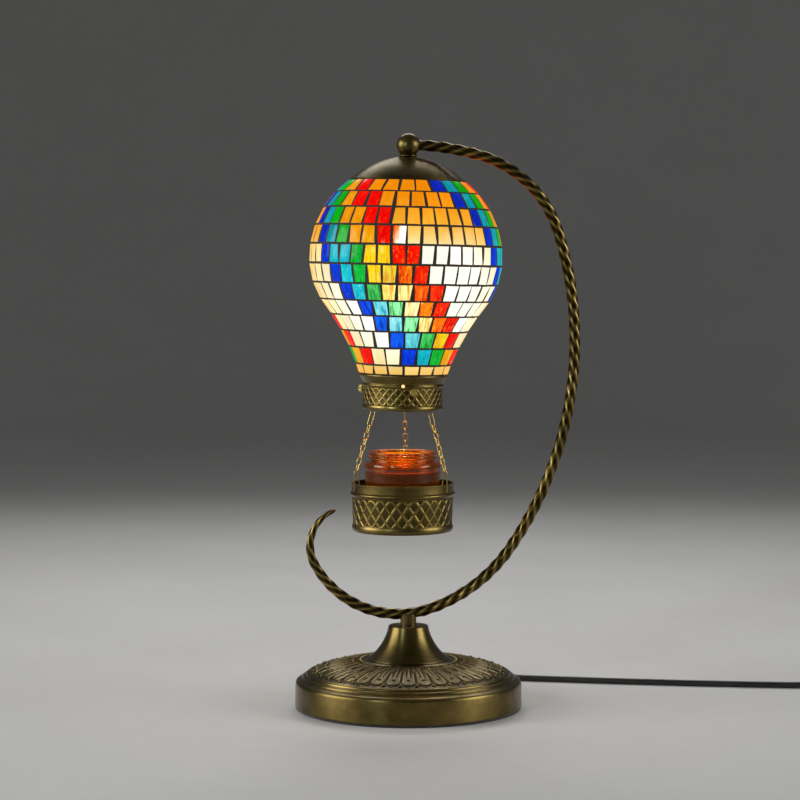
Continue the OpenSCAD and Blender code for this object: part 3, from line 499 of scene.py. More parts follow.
# CAD node, slot, colours of the glass from dimly to fully lit, its dark streaks, its flecks and how
# strong they are, 0 for glass with neither
TILES = {
    "W": ("tiles_white", "opal_tile", [(0, (0.98, 0.28, 0.0)), (0.06, (0.98, 0.43, 0.025)),
                                       (0.18, (0.98, 0.62, 0.16)), (0.30, (0.98, 0.82, 0.44)),
                                       (0.42, (1.0, 0.98, 0.84))], None, None, 0),
    "B": ("tiles_blue", "blue_tile", [(0, (0.003, 0.018, 0.46)), (0.5, (0.0, 0.048, 0.78)),
                                      (1, (0.02, 0.36, 0.94))],
          (0.0, 0.008, 0.30), (0.01, 0.16, 0.92), 0.5),
    "C": ("tiles_turquoise", "turquoise_tile", [(0, (0.0, 0.30, 0.36)), (0.5, (0.003, 0.56, 0.64)),
                                                (1, (0.50, 0.95, 0.96))],
          (0.0, 0.26, 0.42), (0.30, 0.88, 0.92), 0.5),
    "G": ("tiles_green", "green_tile", [(0, (0.003, 0.42, 0.001)), (0.5, (0.002, 0.50, 0.045)),
                                        (1, (0.36, 0.94, 0.46))],
          (0.0, 0.20, 0.006), (0.10, 0.74, 0.20), 0.5),
    "Y": ("tiles_amber", "amber_tile", [(0, (0.90, 0.30, 0.0)), (0.30, (0.92, 0.42, 0.0)),
                                        (0.5, (0.97, 0.72, 0.008)), (1, (1.0, 0.98, 0.46))],
          (0.74, 0.24, 0.0), (1.0, 0.84, 0.22), 0.6),
    "O": ("tiles_orange", "orange_tile", [(0, (0.90, 0.08, 0.0)), (0.5, (0.96, 0.10, 0.002)),
                                          (1, (0.97, 0.24, 0.004))],
          (0.72, 0.015, 0.0), (1.0, 0.62, 0.02), 0.9),
    "R": ("tiles_red", "red_tile", [(0, (1.0, 0.0, 0.0)), (0.5, (0.97, 0.006, 0.001)),
                                    (0.8, (0.96, 0.02, 0.002)), (1, (0.98, 0.34, 0.01))],
          (0.56, 0.0, 0.0), (0.98, 0.22, 0.008), 0.8),
}


def glass_material(name, colour, roughness):
    m, nt, b = new_material(name)
    cloud = noise(nt, coords(nt, (45, 45, 25)), 1, 3)
    feed(nt, b, {"Base Color": mix(nt, cloud, colour, tuple(c * 0.8 for c in colour)), "Roughness": roughness,
                 "IOR": 1.5, "Transmission Weight": 0.9, "Specular IOR Level": 0.15})
    bump(nt, b, noise(nt, coords(nt, (120, 120, 60)), 1, 2), 0.08, 0.0004)
    return m


amber_glass = glass_material("amber_glass", (0.60, 0.17, 0.003), 0.06)
wax_mat = rough_material("wax", (0.16, 0.010, 0.001), (0.30, 0.026, 0.003), 160, (0.35, 0.55), 0.2, 0.0005)
feed(wax_mat.node_tree, wax_mat.node_tree.nodes["Principled BSDF"],
     {"Subsurface Weight": 0.2, "Subsurface Scale": 0.004})

# ---- CAD nodes that stay
KEPT = {
    "base_weight": iron, "base_felt": felt, "stem_post": plain_brass, "stem_washer": steel, "stem_nut": steel,
    "top_nipple": steel, "shade_holder": steel, "holder_nut": steel, "socket_shell": bakelite,
    "socket_liner": bright_brass, "socket_contact": bright_brass, "bulb_screw_cap": nickel,
    "bulb_neck": white_plastic, "bulb_globe": bulb_mat, "bulb_led_board": led_mat, "shade_glass": shade_mat,
    "basket_floor": plain_brass, "inner_wire": sheath, "switch_screws": steel, "plug_pins": nickel,
    "cord_tie": strap,
}
for node, mat in KEPT.items():
    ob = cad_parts[node]
    ob.data.materials.clear()
    ob.data.materials.append(mat)

# ---- foot
PETALS = 36
# radii of the embossed band, and radii where the petals, the ribs in them and the darts between them end
BAND_IN, BAND_OUT = 41, 85.8
PETAL_TIP, RIB_END, DART_END = 82.0, 70.5, 75
# radius on the foot, 0 on a petal's middle line or 1 between two petals, and radius of each bead
BEADS = ((73.0, 0, 1.4), (82.4, 1, 1.4), (49.0, 0, 0.9), (84.2, 0, 0.8))


def line_ridge(x, at, half):
    """Rounded ridge across x, 1 on its crest."""
    return max(0.0, 1 - ((x - at) / half) ** 2)


def petal_relief(angle, r):
    """Height of the embossed band of petals at a point of the foot, and its wear with painted shade and
    highlights.
    """
    if not BAND_IN < r < BAND_OUT:
        return 0.0, 0.5
    step = 2 * math.pi / PETALS
    x = abs((angle / step + 0.5) % 1 - 0.5) * step * r
    half = step * r / 2
    fade = min(1, (BAND_OUT - r) / 0.9, (r - BAND_IN) / 1.5)
    body = PETAL_TIP - 5.2
    wide = 0.80 * half
    if r > body:
        wide *= math.sqrt(max(0, 1 - ((r - body) / (PETAL_TIP - body)) ** 2))
    # the hollows between petals are near black with patina and painted shade; rims, ribs, darts and beads
    # lighten with wear and painted highlights
    h, wear = -0.45, 0.04
    if x < wide and wide > 0.01:
        h = -0.15 + 0.5 * (1 - (x / wide) ** 2)
        wear = 0.30
    rim = line_ridge(x, wide, 0.62) if r < PETAL_TIP else 0
    h += 0.85 * rim
    wear += 0.5 * rim
    if r < RIB_END:
        rib = line_ridge(x, half * 0.30, 0.45) * min(1, (RIB_END - r) / 2)
        h += 0.45 * rib
        wear += 0.35 * rib
    dart = line_ridge(x, half, 0.5) if r < DART_END else 0
    h += 0.5 * dart
    wear += 0.35 * dart
    for bead_r, side_on, size in BEADS:
        d2 = (r - bead_r) ** 2 + (x - side_on * half) ** 2
        if d2 < size * size:
            k = math.sqrt(size * size - d2)
            h = max(h, 0.1) + k * 0.85
            wear = 0.6 + 0.4 * k / size
    return h * fade, min(1, max(0, wear * fade + 0.5 * (1 - fade)))


def dome_height(r):
    """Smooth rise of the foot between its step rings and the cone."""
    t = (BAND_OUT - r) / 47.8
    return 31.5 + 10.4 * (1.5 * t - 0.5 * t * t)


foot = Shape()
rim_profile = [(97.4, 1.2), (98.6, 2.0), (99, 2.6), (98.6, 21.4), (98.2, 22.9), (97.0, 24.1), (95.2, 24.7),
               (92.6, 26.2), (92.0, 27.5), (91.2, 28.1), (90.0, 28.3), (89.2, 28.9), (88.8, 30.0),
               (88.0, 30.6), (87.0, 30.9), (86.4, 31.3), (BAND_OUT, dome_height(BAND_OUT))]
foot.lathe(rim_profile, seg=288, soft=0.5)
band = [(r, dome_height(r)) for r in np.arange(BAND_OUT, BAND_IN - 0.2, -0.6)]
foot.lathe(band, seg=PETALS * 22, soft=0, lift=petal_relief)
ring_z = band[-1][1]
foot.lathe([band[-1], (40.2, ring_z + 0.5), (38.6, ring_z + 0.55), (37.8, ring_z - 0.1), (36.4, ring_z + 0.1),
            (34, 42.5)], seg=288, soft=0.3)
foot.piece("foot_shell", spun_brass, "lamp", ["base_shell"], "antique_brass", sharp=50)

# the cone's side is an arc that bends inwards from its foot to its neck
CONE_FOOT, CONE_NECK, CONE_BEND = np.array([35.0, 42.8]), np.array([17.4, 70.4]), 46.0
chord = CONE_NECK - CONE_FOOT
across = np.array([chord[1], -chord[0]]) / np.linalg.norm(chord)
mid = (CONE_FOOT + CONE_NECK) / 2 + across * math.sqrt(CONE_BEND ** 2 - (np.linalg.norm(chord) / 2) ** 2)
start, stop = [math.atan2(*(end - mid)[::-1]) % (2 * math.pi) for end in (CONE_FOOT, CONE_NECK)]
side = [(mid[0] + CONE_BEND * math.cos(a), mid[1] + CONE_BEND * math.sin(a))
        for a in np.linspace(start, stop, 25)]
cone = Shape()
cone.lathe([(35.6, 42.2), (35.7, 42.7)] + side
           + [(17.2, 71.1), (16.6, 71.5), (15.6, 71.6), (7.3, 71.6), (7.3, 70)], seg=192, soft=0.25)
cone.piece("foot_cone", spun_brass, "lamp", ["base_cone"], "antique_brass")

# ---- arm
# radius and sweep in degrees of each arc, from the ball to the tip of the tail
ARM_ARCS = [(221, 16.4), (100, 56), (316, 52.3), (139, 37.2), (83, 79), (34, 99)]
ARM_Z, ARM_R = 488.5, 4.8
# length of the tapered tail, and length in which the four ridges turn by a quarter
TAIL_LEN, QUARTER_TURN = 130.0, 12.51
arm_path = []
px, pz, heading = 0.0, ARM_Z, 0.0
for r, sweep_deg in ARM_ARCS:
    cx, cz = px + r * math.sin(math.radians(heading)), pz - r * math.cos(math.radians(heading))
    n = int(math.radians(sweep_deg) * r / 1.3)
    for k in range(n):
        a = math.radians(heading - sweep_deg * k / n)
        arm_path.append((cx - r * math.sin(a), 0, cz + r * math.cos(a)))
    heading -= sweep_deg
    a = math.radians(heading)
    px, pz = cx - r * math.sin(a), cz + r * math.cos(a)
arm_path.append((px, 0, pz))
arm_path = [p for p in arm_path if math.hypot(p[0], p[2] - BALL_Z) > 6.5]
arm_s = np.concatenate([[0], np.cumsum([math.dist(a, b) for a, b in zip(arm_path, arm_path[1:])])])


def arm_section(i, f):
    """Radius of the arm at point i of its path, at angle f round it, and its wear with painted shade and
    highlights.
    """
    s = arm_s[i]
    q = max(0, (s - (arm_s[-1] - TAIL_LEN)) / TAIL_LEN)
    radius = ARM_R - 0.9 * q - 2.2 * q ** 3
    if i >= len(arm_path) - 3:
        radius *= (0.97, 0.8, 0.45)[i - len(arm_path) + 3]
    valley = abs(math.sin(2 * (f - math.radians(90) * s / QUARTER_TURN)))
    # the valleys of the twist are darkened with patina and painted shade, and the ridges lightened with wear
    # and painted highlights
    return radius * (1.05 - 0.15 * valley ** 0.8), 1 - 0.92 * min(1, valley * 1.2) ** 1.1


arm = Shape()
arm.sweep(arm_path, ARM_R, sides=40, section=arm_section)
arm.piece("twisted_arm", antique, "lamp", ["arm_tube", "arm_tail"], "antique_brass", sharp=60)

BALL_R = 10.3
ball = Shape()
ball.lathe([(4.9, BALL_Z - 8.2)] + [(BALL_R * math.cos(a), BALL_Z + BALL_R * math.sin(a))
                                    for a in np.radians(np.linspace(-52, 90, 40))], seg=96, soft=0)
ball.piece("arm_ball_top", antique, "lamp", ["arm_ball"], "antique_brass")
neck = Shape()
neck.lathe([(4.9, 478.4), (7.2, 478.4), (7.8, 478.9), (7.9, 479.6), (7.4, 480.3), (4.9, 480.6)], seg=96,
           soft=0.2)
neck.piece("neck_washer", dark_brass, "lamp", ["neck_ring"], "dark_brass", place=BALLOON)

# ---- cap over the shade
CAP_R, CAP_RISE, CAP_TOP = 49.7, 20.3, 478.6
cap_bend = (CAP_R ** 2 + CAP_RISE ** 2) / (2 * CAP_RISE)
edge = math.degrees(math.asin((CAP_R - 0.4) / cap_bend))
outer = [(cap_bend * math.sin(math.radians(a)), CAP_TOP - cap_bend + cap_bend * math.cos(math.radians(a)))
         for a in np.linspace(4, edge, 34)]
inner = [(0.985 * x, z - 0.9) for x, z in outer[::-1]]
cap = Shape()
cap.lathe(outer + [(50.0, 458.7), (50.4, 458.1), (50.2, 457.6), (49.6, 457.5), (48.9, 457.8)] + inner,
          seg=192, soft=0)
cap.piece("cap", spun_brass, "lamp", ["cap_dome"], "antique_brass", place=BALLOON)

# ---- shade
# the profile is a quarter circle, an arc about a centre off the axis, and an arc that flares to the neck
SHADE_R, SHADE_Z, LOW_SHIFT = 83.4, 391.4, 15.0
LOW_R = SHADE_R - LOW_SHIFT
FLARE_A = math.radians(38.0)
flare_top = np.array([LOW_SHIFT + LOW_R * math.cos(FLARE_A), SHADE_Z - LOW_R * math.sin(FLARE_A)])
flare_dir = np.array([math.cos(FLARE_A), -math.sin(FLARE_A)])
drop = np.array([38.1, 290.5]) - flare_top
FLARE_R = drop @ drop / (2 * drop @ flare_dir)
flare_c = flare_top + FLARE_R * flare_dir
# lengths of the first two arcs
CROWN = SHADE_R * math.pi / 2
BELLY = LOW_R * FLARE_A


def shade_at(s, d):
    """Point (r, z) of the shade's profile at length s from the crown, d inside the tiles' faces."""
    if s < CROWN:
        a = s / SHADE_R
        return (SHADE_R - d) * math.sin(a), SHADE_Z + (SHADE_R - d) * math.cos(a)
    if s < CROWN + BELLY:
        a = (s - CROWN) / LOW_R
        return LOW_SHIFT + (LOW_R - d) * math.cos(a), SHADE_Z - (LOW_R - d) * math.sin(a)
    a = FLARE_A - (s - CROWN - BELLY) / FLARE_R
    return flare_c[0] - (FLARE_R + d) * math.cos(a), flare_c[1] + (FLARE_R + d) * math.sin(a)


# length from the crown to the first row, gap between tiles, height and start of each row
ROW_FIRST, GAP = 54.6, 1.4
ROW_HIGH = [13.8] + [15.5] * 5 + [14.6] * 5 + [7.6]
ROW_TOP = [ROW_FIRST + sum(ROW_HIGH[:i]) + GAP * i for i in range(12)]
# tiles in each row, bearing of the first in degrees, and their colours, repeated round the row
ROWS = [
    (27, 26.3, "BCGYRWWWW"), (33, 40.3, "BCGYRRWWWWW"), (39, 50.3, "BCGYYRRWWWWWW"),
    (39, 58.2, "BCGYYRRWWWWWW"), (42, 64.3, "BCCGYYRRWWWWWW"), (39, 73.4, "BCGYYORWWWWWW"),
    (36, 81.1, "BCGYYRRWWWWW"), (33, 91.7, "BCGYORWWWWW"), (30, 101.5, "BCGYORWWWW"), (24, 112.7, "BCGYRWWW"),
    (21, 125.2, "BCGYRWW"), (18, 10, "WWWWWW"),
]
# rows whose front tiles were set off to one side, in degrees
ROW_DRIFT = {3: 1.9, 6: -1.4, 8: -1.0}
# light that reaches the top and the bottom of each row, most at one bearing
ROW_LIGHT = [(0.0, 0.0), (0.0, 0.04), (0.06, 0.14), (0.16, 0.46), (0.80, 0.92), (0.95, 1.0), (1.0, 1.0),
             (1.0, 1.0), (1.0, 0.95), (0.92, 0.84), (0.68, 0.56), (0.44, 0.34)]
LIGHT_BEARING = 7
# what the bulb right behind adds to the front tiles of each row
BULB_SPOT = (0, 0, 0, 0.05, 0.15, 0.3, 0.75, 0.95, 0.85, 0.4, 0.15, 0)
# row and place of the tile that glares, most in its right half
GLARE_TILE = (3, 32)
# depth below the face and inset of the four rings that make a tile
TILE_RINGS = ((-2.0, 0.28), (-0.5, 0.24), (-0.14, 0.3), (0.0, 0.6))
TILE_FACES = grid_faces(4, 4, closed=True, flip=True) + [[12, 13, 14, 15], [3, 2, 1, 0]]
SHADE_END = ROW_TOP[-1] + ROW_HIGH[-1]

grout = Shape()
grout.lathe([shade_at(ROW_FIRST - 1.2 + (SHADE_END + 3.2 - ROW_FIRST) * k / 120, 0.45)
             for k in range(121)], seg=240, soft=0)
grout.piece("mosaic_grout", grout_mat, "lamp", ["grout"], "grout", place=BALLOON)

rng = random.Random(7)
tile_sets = {k: {"v": [], "f": [], "cell": [], "lit": []} for k in TILES}
for i, (count, first, hues) in enumerate(ROWS):
    a, b = shade_at(ROW_TOP[i], 0), shade_at(ROW_TOP[i] + ROW_HIGH[i], 0)
    h = math.dist(a, b) / 2
    wa, wb = a[0] * math.pi / count - GAP / 2, b[0] * math.pi / count - GAP / 2
    lean = math.atan2(a[0] - b[0], a[1] - b[1])
    for k in range(count):
        letter = hues[k % len(hues)]
        bag = tile_sets[letter]
        j = [rng.uniform(-0.25, 0.25) for _ in range(8)]
        skew = rng.gauss(0, 0.3) + 0.25
        slim = rng.choice((0, 2, 4, 6, 0, 2))
        j[slim] += (1 if slim in (0, 6) else -1) * rng.uniform(0.2, 1.5)
        corners = [(-wb + j[0], -h + j[1] * 0.6), (wb + j[2], -h + j[3] * 0.6),
                   (wa + j[4] + skew, h + j[5] * 0.6), (-wa + j[6] + skew, h + j[7] * 0.6)]
        cx, cy = sum(c[0] for c in corners) / 4, sum(c[1] for c in corners) / 4
        own = rng.random()
        du, dv = rng.uniform(0, 400), rng.uniform(0, 400)
        tip = Matrix.Rotation(rng.uniform(-0.02, 0.02), 4, "Z")
        tip @= Matrix.Rotation(rng.uniform(-0.018, 0.018), 4, "Y")
        bearing = first + k * 360 / count
        bearing += ROW_DRIFT.get(i, 0) * max(0, math.cos(math.radians(bearing))) ** 0.7
        place = (turned(bearing) @ moved(0, -(a[0] + b[0]) / 2, (a[1] + b[1]) / 2)
                 @ Matrix.Rotation(math.radians(90) + lean, 4, "X") @ tip)
        n = len(bag["v"])
        for depth, inset in TILE_RINGS:
            for x, y in corners:
                lx, ly = x - cx, y - cy
                q = 1 - inset / max(2.5, min(abs(lx), abs(ly)) + 1e-6)
                p = Vector((cx + lx * q, cy + ly * q, depth))
                bag["v"].append(tuple(place @ p))
                bag["cell"].append((p.x + du, p.y + dv, own))
                t = (h - p.y) / (2 * h)
                high, low = ROW_LIGHT[i]
                lit = high + (low - high) * min(1, max(0, t))
                turn = (bearing - LIGHT_BEARING + 180) % 360 - 180
                lit *= 0.40 + 0.60 * max(-0.3, math.cos(math.radians(turn)))
                lit += BULB_SPOT[i] * math.exp(-(turn / 26) ** 2)
                if (i, k) == GLARE_TILE:
                    lit = 1.55 + 1.5 * (x > 0) + 0.5 * t
                bag["lit"].append(lit)
        bag["f"] += [[n + v for v in face] for face in TILE_FACES]
for letter, (node, slot_name, stops, dark, fleck, flecked) in TILES.items():
    bag = tile_sets[letter]
    mat = tile_material(slot_name, stops, dark, fleck, flecked)
    mesh_piece("mosaic_" + slot_name, bag["v"], bag["f"], mat, "lamp", [node], BALLOON, 50,
               floats={"lit": bag["lit"]}, vectors={"cell": bag["cell"]})


# ---- collar and basket
def embossed_band(shape, count, z0, high, r_low, r_high, bar, depth):
    """Round wall pressed into crossing bars that rise and fall in rounded loops, with sunk floors between.
    count loops go round it, bar is a bar's width and depth how far the floors are sunk."""
    step = 2 * math.pi / count
    around, up = count * 24, 56

    def bar_lift(x, z):
        """How far a point lies on a bar, 0 to 1; x is in steps and z from 0 to 1."""
        best = 0.0
        swing = 0.5 * z + 0.5 * math.acos(max(-1, min(1, 1 - 2 * z))) / math.pi
        slope = high / (0.5 + 0.5 / (math.pi * math.sqrt(max(z * (1 - z), 1e-4))))
        for way in (2 * swing, -2 * swing):
            off = ((x - way) % 1 + 0.5) % 1 - 0.5
            across = abs(off) * step * r_low * slope / math.hypot(slope, 2 * step * r_low)
            best = max(best, 1 - across / (bar / 2))
        return best

    verts, wear, ring = [], [], []
    for j in range(around):
        a = 2 * math.pi * j / around
        for i in range(up + 1):
            z = i / up
            on = bar_lift(a / step, z)
            k = max(ease((on + 0.3) / 0.6), 1 - ease(min(z, 1 - z) * high / 0.5))
            crown = 0.12 * ease(on) if 0 < z < 1 else 0
            r = r_low + (r_high - r_low) * z - depth * (1 - k) + crown
            verts.append((r * math.cos(a), r * math.sin(a), z0 + z * high))
            # the sunk floors are darker with patina and painted shade, a darker line along each bar's foot is
            # painted shade, and the bars are lighter with wear and painted highlights
            wear.append(0.36 - 0.27 * math.exp(-((on + 0.35) / 0.4) ** 2) + 0.34 * ease((on + 0.1) / 0.5))
            ring.append((z * high, a * RING_SCALE, 0))
    shape.add(verts, grid_faces(around, up + 1, around=True), wear, ring)


collar = Shape()
collar.lathe([(33.3, 284), (37.2, 290.4), (38.0, 290.9), (38.7, 290.6), (38.9, 289.9), (38.2, 288.6),
              (36.6, 286.4), (35.5, 284.7)], seg=180, soft=0.15)
PEEP_R, PEEP_Z = 1.7, 281.9
SCREW_R, SCREW_Z = 32.9, 277
neck_line = smooth_path([(35.5, 284.7, 0), (34.8, 283.6, 0), (34.75, 282.9, 0), (35.15, 282.2, 0),
                         (35.25, 281.4, 0), (34.95, 280.5, 0), (34.4, 279.8, 0), (34.3, 279.3, 0)], 0.16)


def pierced_ring(shape, line, bearings, hole_r, hole_z, seg=1080):
    """Turned wall through a line of (r, z) with a round hole at each bearing."""
    turns = [2 * math.pi * j / seg for j in range(seg)]
    n = len(line)
    faces = []
    for j, t in enumerate(turns):
        off = min(abs((math.degrees(t) + 90 - b + 180) % 360 - 180) for b in bearings)
        for i in range(n - 1):
            z = (line[i][1] + line[i + 1][1]) / 2
            if math.hypot(math.radians(off) * line[i][0], z - hole_z) > hole_r:
                k = (j + 1) % seg
                faces.append((j * n + i, k * n + i, k * n + i + 1, j * n + i + 1))
    shape.add([(r * math.cos(t), r * math.sin(t), z) for t in turns for r, z in line], faces,
              [0.55] * (seg * n), [(z, t * RING_SCALE, 0) for t in turns for _, z in line])


pierced_ring(collar, [(r, z) for r, z, _ in neck_line], PEEPHOLES, PEEP_R, PEEP_Z)
for bearing in PEEPHOLES:
    rim = [(PEEP_R * math.cos(f), -math.sqrt(35.0 ** 2 - (PEEP_R * math.cos(f)) ** 2),
            PEEP_Z + PEEP_R * math.sin(f)) for f in np.radians(np.arange(0, 360, 12))]
    collar.sweep(rim, 0.24, sides=8, loop=True, at=turned(bearing), wear=0.7)
collar.lathe([(33.9, 265.0), (34.35, 264.8), (34.75, 264.0), (35.0, 262.6), (34.7, 261.1), (34.0, 260.2),
              (33.4, 260.4), (33.2, 262), (26.4, 262), (26.4, 263.2), (33.1, 263.2), (33.2, 279.8)], seg=180,
              soft=0.1)
pierced_ring(collar, [(33.2, z) for z in np.arange(279.8, 284.1, 0.16)], PEEPHOLES, PEEP_R, PEEP_Z)
embossed_band(collar, 30, 264.8, 14.6, 34.3, 34.3, 1.8, 0.7)
for bearing in SCREWS.values():
    collar.lathe([(1.8, 32.9), (2.7, 32.9), (2.9, 33.2), (2.9, 35.0), (2.6, 35.4), (1.8, 35.4)], seg=32,
                 soft=0.1, closed=True, at=turned(bearing) @ moved(0, 0, SCREW_Z) @ turned(90, "X"))
collar.piece("neck_collar", antique, "lamp", ["collar"], "antique_brass", place=BALLOON)

basket = Shape()
basket.lathe([(43.3, 192.4), (43.3, 195.4), (43.2, 196.1), (43.5, 196.7), (44.1, 196.8), (44.5, 196.3),
              (44.4, 195.4), (44.3, 194.6), (44.3, 192.4)], seg=216, soft=0.12)
basket.lathe([(44.3, 189.2), (45.0, 188.6), (45.6, 187.9), (45.7, 187.2), (45.4, 186.4), (44.7, 185.7),
              (44.2, 185.2), (44.0, 184.2), (43.4, 183.6), (42.9, 184.0), (43.2, 186.4), (43.3, 187.6)],
              seg=216, soft=0.12)
for wall_r, low in ((44.3, 189.2), (43.3, 187.6)):
    pierced_ring(basket, [(wall_r, z) for z in np.arange(low, 192.5, 0.16)] + [(wall_r, 192.4)],
                 CHAINS.values(), 1.15, 190.5)
basket.lathe([(43.0, 161.2), (43.5, 160.2), (43.9, 158.9), (44.0, 157.3), (43.6, 155.9), (42.8, 154.8),
              (41.8, 154.5), (40, 154.5), (40, 155.3), (41.8, 155.4), (41.9, 160.4), (42.8, 184)], seg=216,
              soft=0.12)
embossed_band(basket, 28, 160.6, 23.2, 43.05, 43.95, 2.2, 0.8)
basket.piece("basket", antique, "basket", ["basket_wall"], "antique_brass", place=HANG)

# ---- thumb screws
# shank and head; the head's side has 16 notches beyond radius NOTCH_R
SHANK = [(0.01, 0), (1.5, 0), (1.5, 3.3), (1.5, 3.4)]
HEAD = [(1.5, 3.4), (3.1, 3.4), (3.35, 3.6), (3.42, 4.0), (3.42, 5.9), (3.35, 6.3), (3.0, 6.5), (2.0, 6.5),
        (1.7, 6.25), (0.01, 6.2)]
NOTCH_R, HEAD_SEG = 3.05, 96
for key, bearing in SCREWS.items():
    screw = Shape()
    screw.lathe(SHANK, seg=32, soft=0.1)
    verts, wear, ring = [], [], []
    for j in range(HEAD_SEG):
        a = 2 * math.pi * j / HEAD_SEG
        for r, z in HEAD:
            valley = abs(math.sin(a * 8)) if r > NOTCH_R else 0
            verts.append(((r - 0.28 * valley) * math.cos(a), (r - 0.28 * valley) * math.sin(a), z))
            # the notches of the knurl are darkened with painted shade and patina, and its ridges lightened
            # with painted highlights and wear
            wear.append(0.9 - 0.7 * valley if r > NOTCH_R else 0.5)
            ring.append((r, a * 0.3, 0))
    screw.add(verts, grid_faces(HEAD_SEG, len(HEAD), around=True), wear, ring)
    place = BALLOON @ turned(bearing) @ moved(0, -SCREW_R * MM, SCREW_Z * MM) @ turned(90, "X")
    screw.piece("thumb_screw_" + key + "_head", screw_brass, "screw_" + key, ["thumb_screw_" + key],
                "dark_brass", place=place)

# ---- chains
# radius of the wire; bend and straight length of the loops at the collar; place, bend and straight
# length of the loops at the basket; number, bend and play of the links between them
WIRE = 0.45
HOOK_BEND, HOOK_LEN = 1.95, 15.2
EYE_R, EYE_Z, EYE_BEND, EYE_LEN = 43.8, 190, 2.3, 14.5
LINKS, LINK_BEND, PLAY = 7, 1.85, 0.25
chain_end = (EYE_R, EYE_Z + EYE_BEND + EYE_LEN + EYE_BEND - WIRE)
slant = math.degrees(math.atan2(chain_end[0] - HOOK_R, HOOK_Z - chain_end[1]))
link_start = HOOK_LEN + HOOK_BEND - WIRE
link_inner = (math.dist((HOOK_R, HOOK_Z), chain_end) - link_start + (LINKS + 1) * PLAY) / LINKS


def loop_path(bend, straight):
    """Closed path of a wire loop that hangs from the centre of its top bend, in its own XZ plane."""
    top = [(bend * math.cos(a), 0, bend * math.sin(a)) for a in np.radians(np.linspace(0, 180, 15))]
    low = [(bend * math.cos(a), 0, bend * math.sin(a) - straight)
           for a in np.radians(np.linspace(180, 360, 15))]
    return top + low


for key, bearing in CHAINS.items():
    chain = Shape()
    base = turned(bearing - 90)
    hang = base @ moved(HOOK_R, 0, HOOK_Z) @ turned(-slant, "Y")
    chain.sweep(loop_path(HOOK_BEND, HOOK_LEN), WIRE, sides=12, loop=True, at=hang, wear=0.6)
    for k in range(LINKS):
        at = (hang @ moved(0, 0, -link_start + PLAY - k * (link_inner - PLAY))
              @ turned(90 if k % 2 == 0 else 0) @ moved(0, 0, -(LINK_BEND - WIRE)))
        straight = link_inner - 2 * (LINK_BEND - WIRE)
        chain.sweep(loop_path(LINK_BEND, straight), WIRE, sides=12, loop=True, at=at, wear=0.6)
    chain.sweep(loop_path(EYE_BEND, EYE_LEN), WIRE, sides=12, loop=True,
                at=base @ moved(EYE_R, 0, EYE_Z + EYE_BEND + EYE_LEN), wear=0.6)
    chain.piece("hanging_chain_" + key, chain_brass, "chain_" + key, ["chain_" + key], "chain_brass",
                place=HANG)

# ---- jar
# heights in the jar are above its underside
jar_place = moved(0, 0, 157)
jar = Shape()
jar.lathe([(0.01, 0.8), (26, 0.8), (27, 0), (30.4, 0), (32.1, 0.8), (32.8, 2.6), (32.8, 50.6), (33.1, 52.6),
           (33.1, 54.6), (32.9, 56.2), (31.6, 57.4), (29, 57.7), (27.6, 58.3), (27.6, 59.4), (29.4, 60),
           (30.2, 60.7), (29.6, 61.5), (28, 62), (27.8, 62.7), (29.5, 63.2), (30.2, 63.9), (29.6, 64.6),
           (28.5, 65.1), (29.3, 65.8), (29.0, 66.4), (27.8, 66.6), (26.2, 66.5), (25.2, 65.6), (25.2, 57.2),
           (29.6, 55), (30.4, 53), (30.4, 5.5), (28.8, 3.8), (0.01, 3.6)], seg=160, soft=0.45, at=jar_place)
jar.piece("amber_jar", amber_glass, "jar", ["jar_glass"], "amber_glass", place=HANG, sharp=70)


def wax_level(a, r):
    """Unevenness of the wax's top at angle a and radius r, with a plain middle value of wear and painted
    shade.
    """
    if r > 29.9:
        return 0, 0.5
    return 0.5 * math.sin(2 * a + 1) * (r / 30) + 0.35 * math.sin(5 * a) * (r / 30) ** 2, 0.5


wax = Shape()
wax.lathe([(0.01, 3.8), (28.4, 4), (30.15, 6), (30.15, 48)], seg=120, soft=0, at=jar_place)
wax.lathe([(30.15, 48), (30.0, 49.3), (29.2, 49.2), (27.5, 48.9), (20, 49), (10, 49.2), (0.01, 49.1)],
          seg=120, soft=0, lift=wax_level, at=jar_place)
wax.piece("candle_wax", wax_mat, "jar", ["jar_wax"], "wax", place=HANG, sharp=60)

# ---- strain relief, switch and plug
grommet = Shape()
back = moved(0, 0, 9) @ turned(-90, "X")
rib = [(6.4, 95.2), (6.4, 96.8), (4.2, 96.9), (4.2, 99.1), (6.5, 99.2), (6.6, 100.6), (5.6, 101.6)]
for k in range(6):
    y = 103 + k * 3.4
    w = 5.2 - 0.28 * k
    rib += [(w, y), (w, y + 1.8), (w - 0.7, y + 2.2), (w - 0.75, y + 3.0)]
grommet.lathe([(2.9, 95.2)] + rib + [(3.5, 123.6), (3.2, 124), (2.85, 124)], seg=48, soft=0.25, at=back)
grommet.piece("strain_relief", rubber, "lamp", ["cord_grommet"], "black_rubber")


def inset_ring(outline, inset, z):
    """An outline drawn in towards its middle, at height z."""
    o = np.array(outline, float)
    d = o - o.mean(0)
    return np.c_[o - d * (inset / np.linalg.norm(d, axis=1))[:, None], np.full(len(o), z)].tolist()


def block(shape, outline, z0, z1, edge_r):
    """Upright block on a convex outline, with rounded top and bottom edges."""
    turn = np.radians(np.linspace(0, 90, 5))
    bend = [(edge_r * (1 - math.sin(f)), edge_r * (1 - math.cos(f))) for f in turn]
    rings = [inset_ring(outline, inset, z0 + z) for z, inset in reversed(bend)]
    rings += [inset_ring(outline, inset, z1 - z) for z, inset in bend]
    n = len(outline)
    faces = grid_faces(len(rings), n, closed=True, flip=True) + [cap[::-1] for cap in end_caps(len(rings), n)]
    shape.add(sum(rings, []), faces)


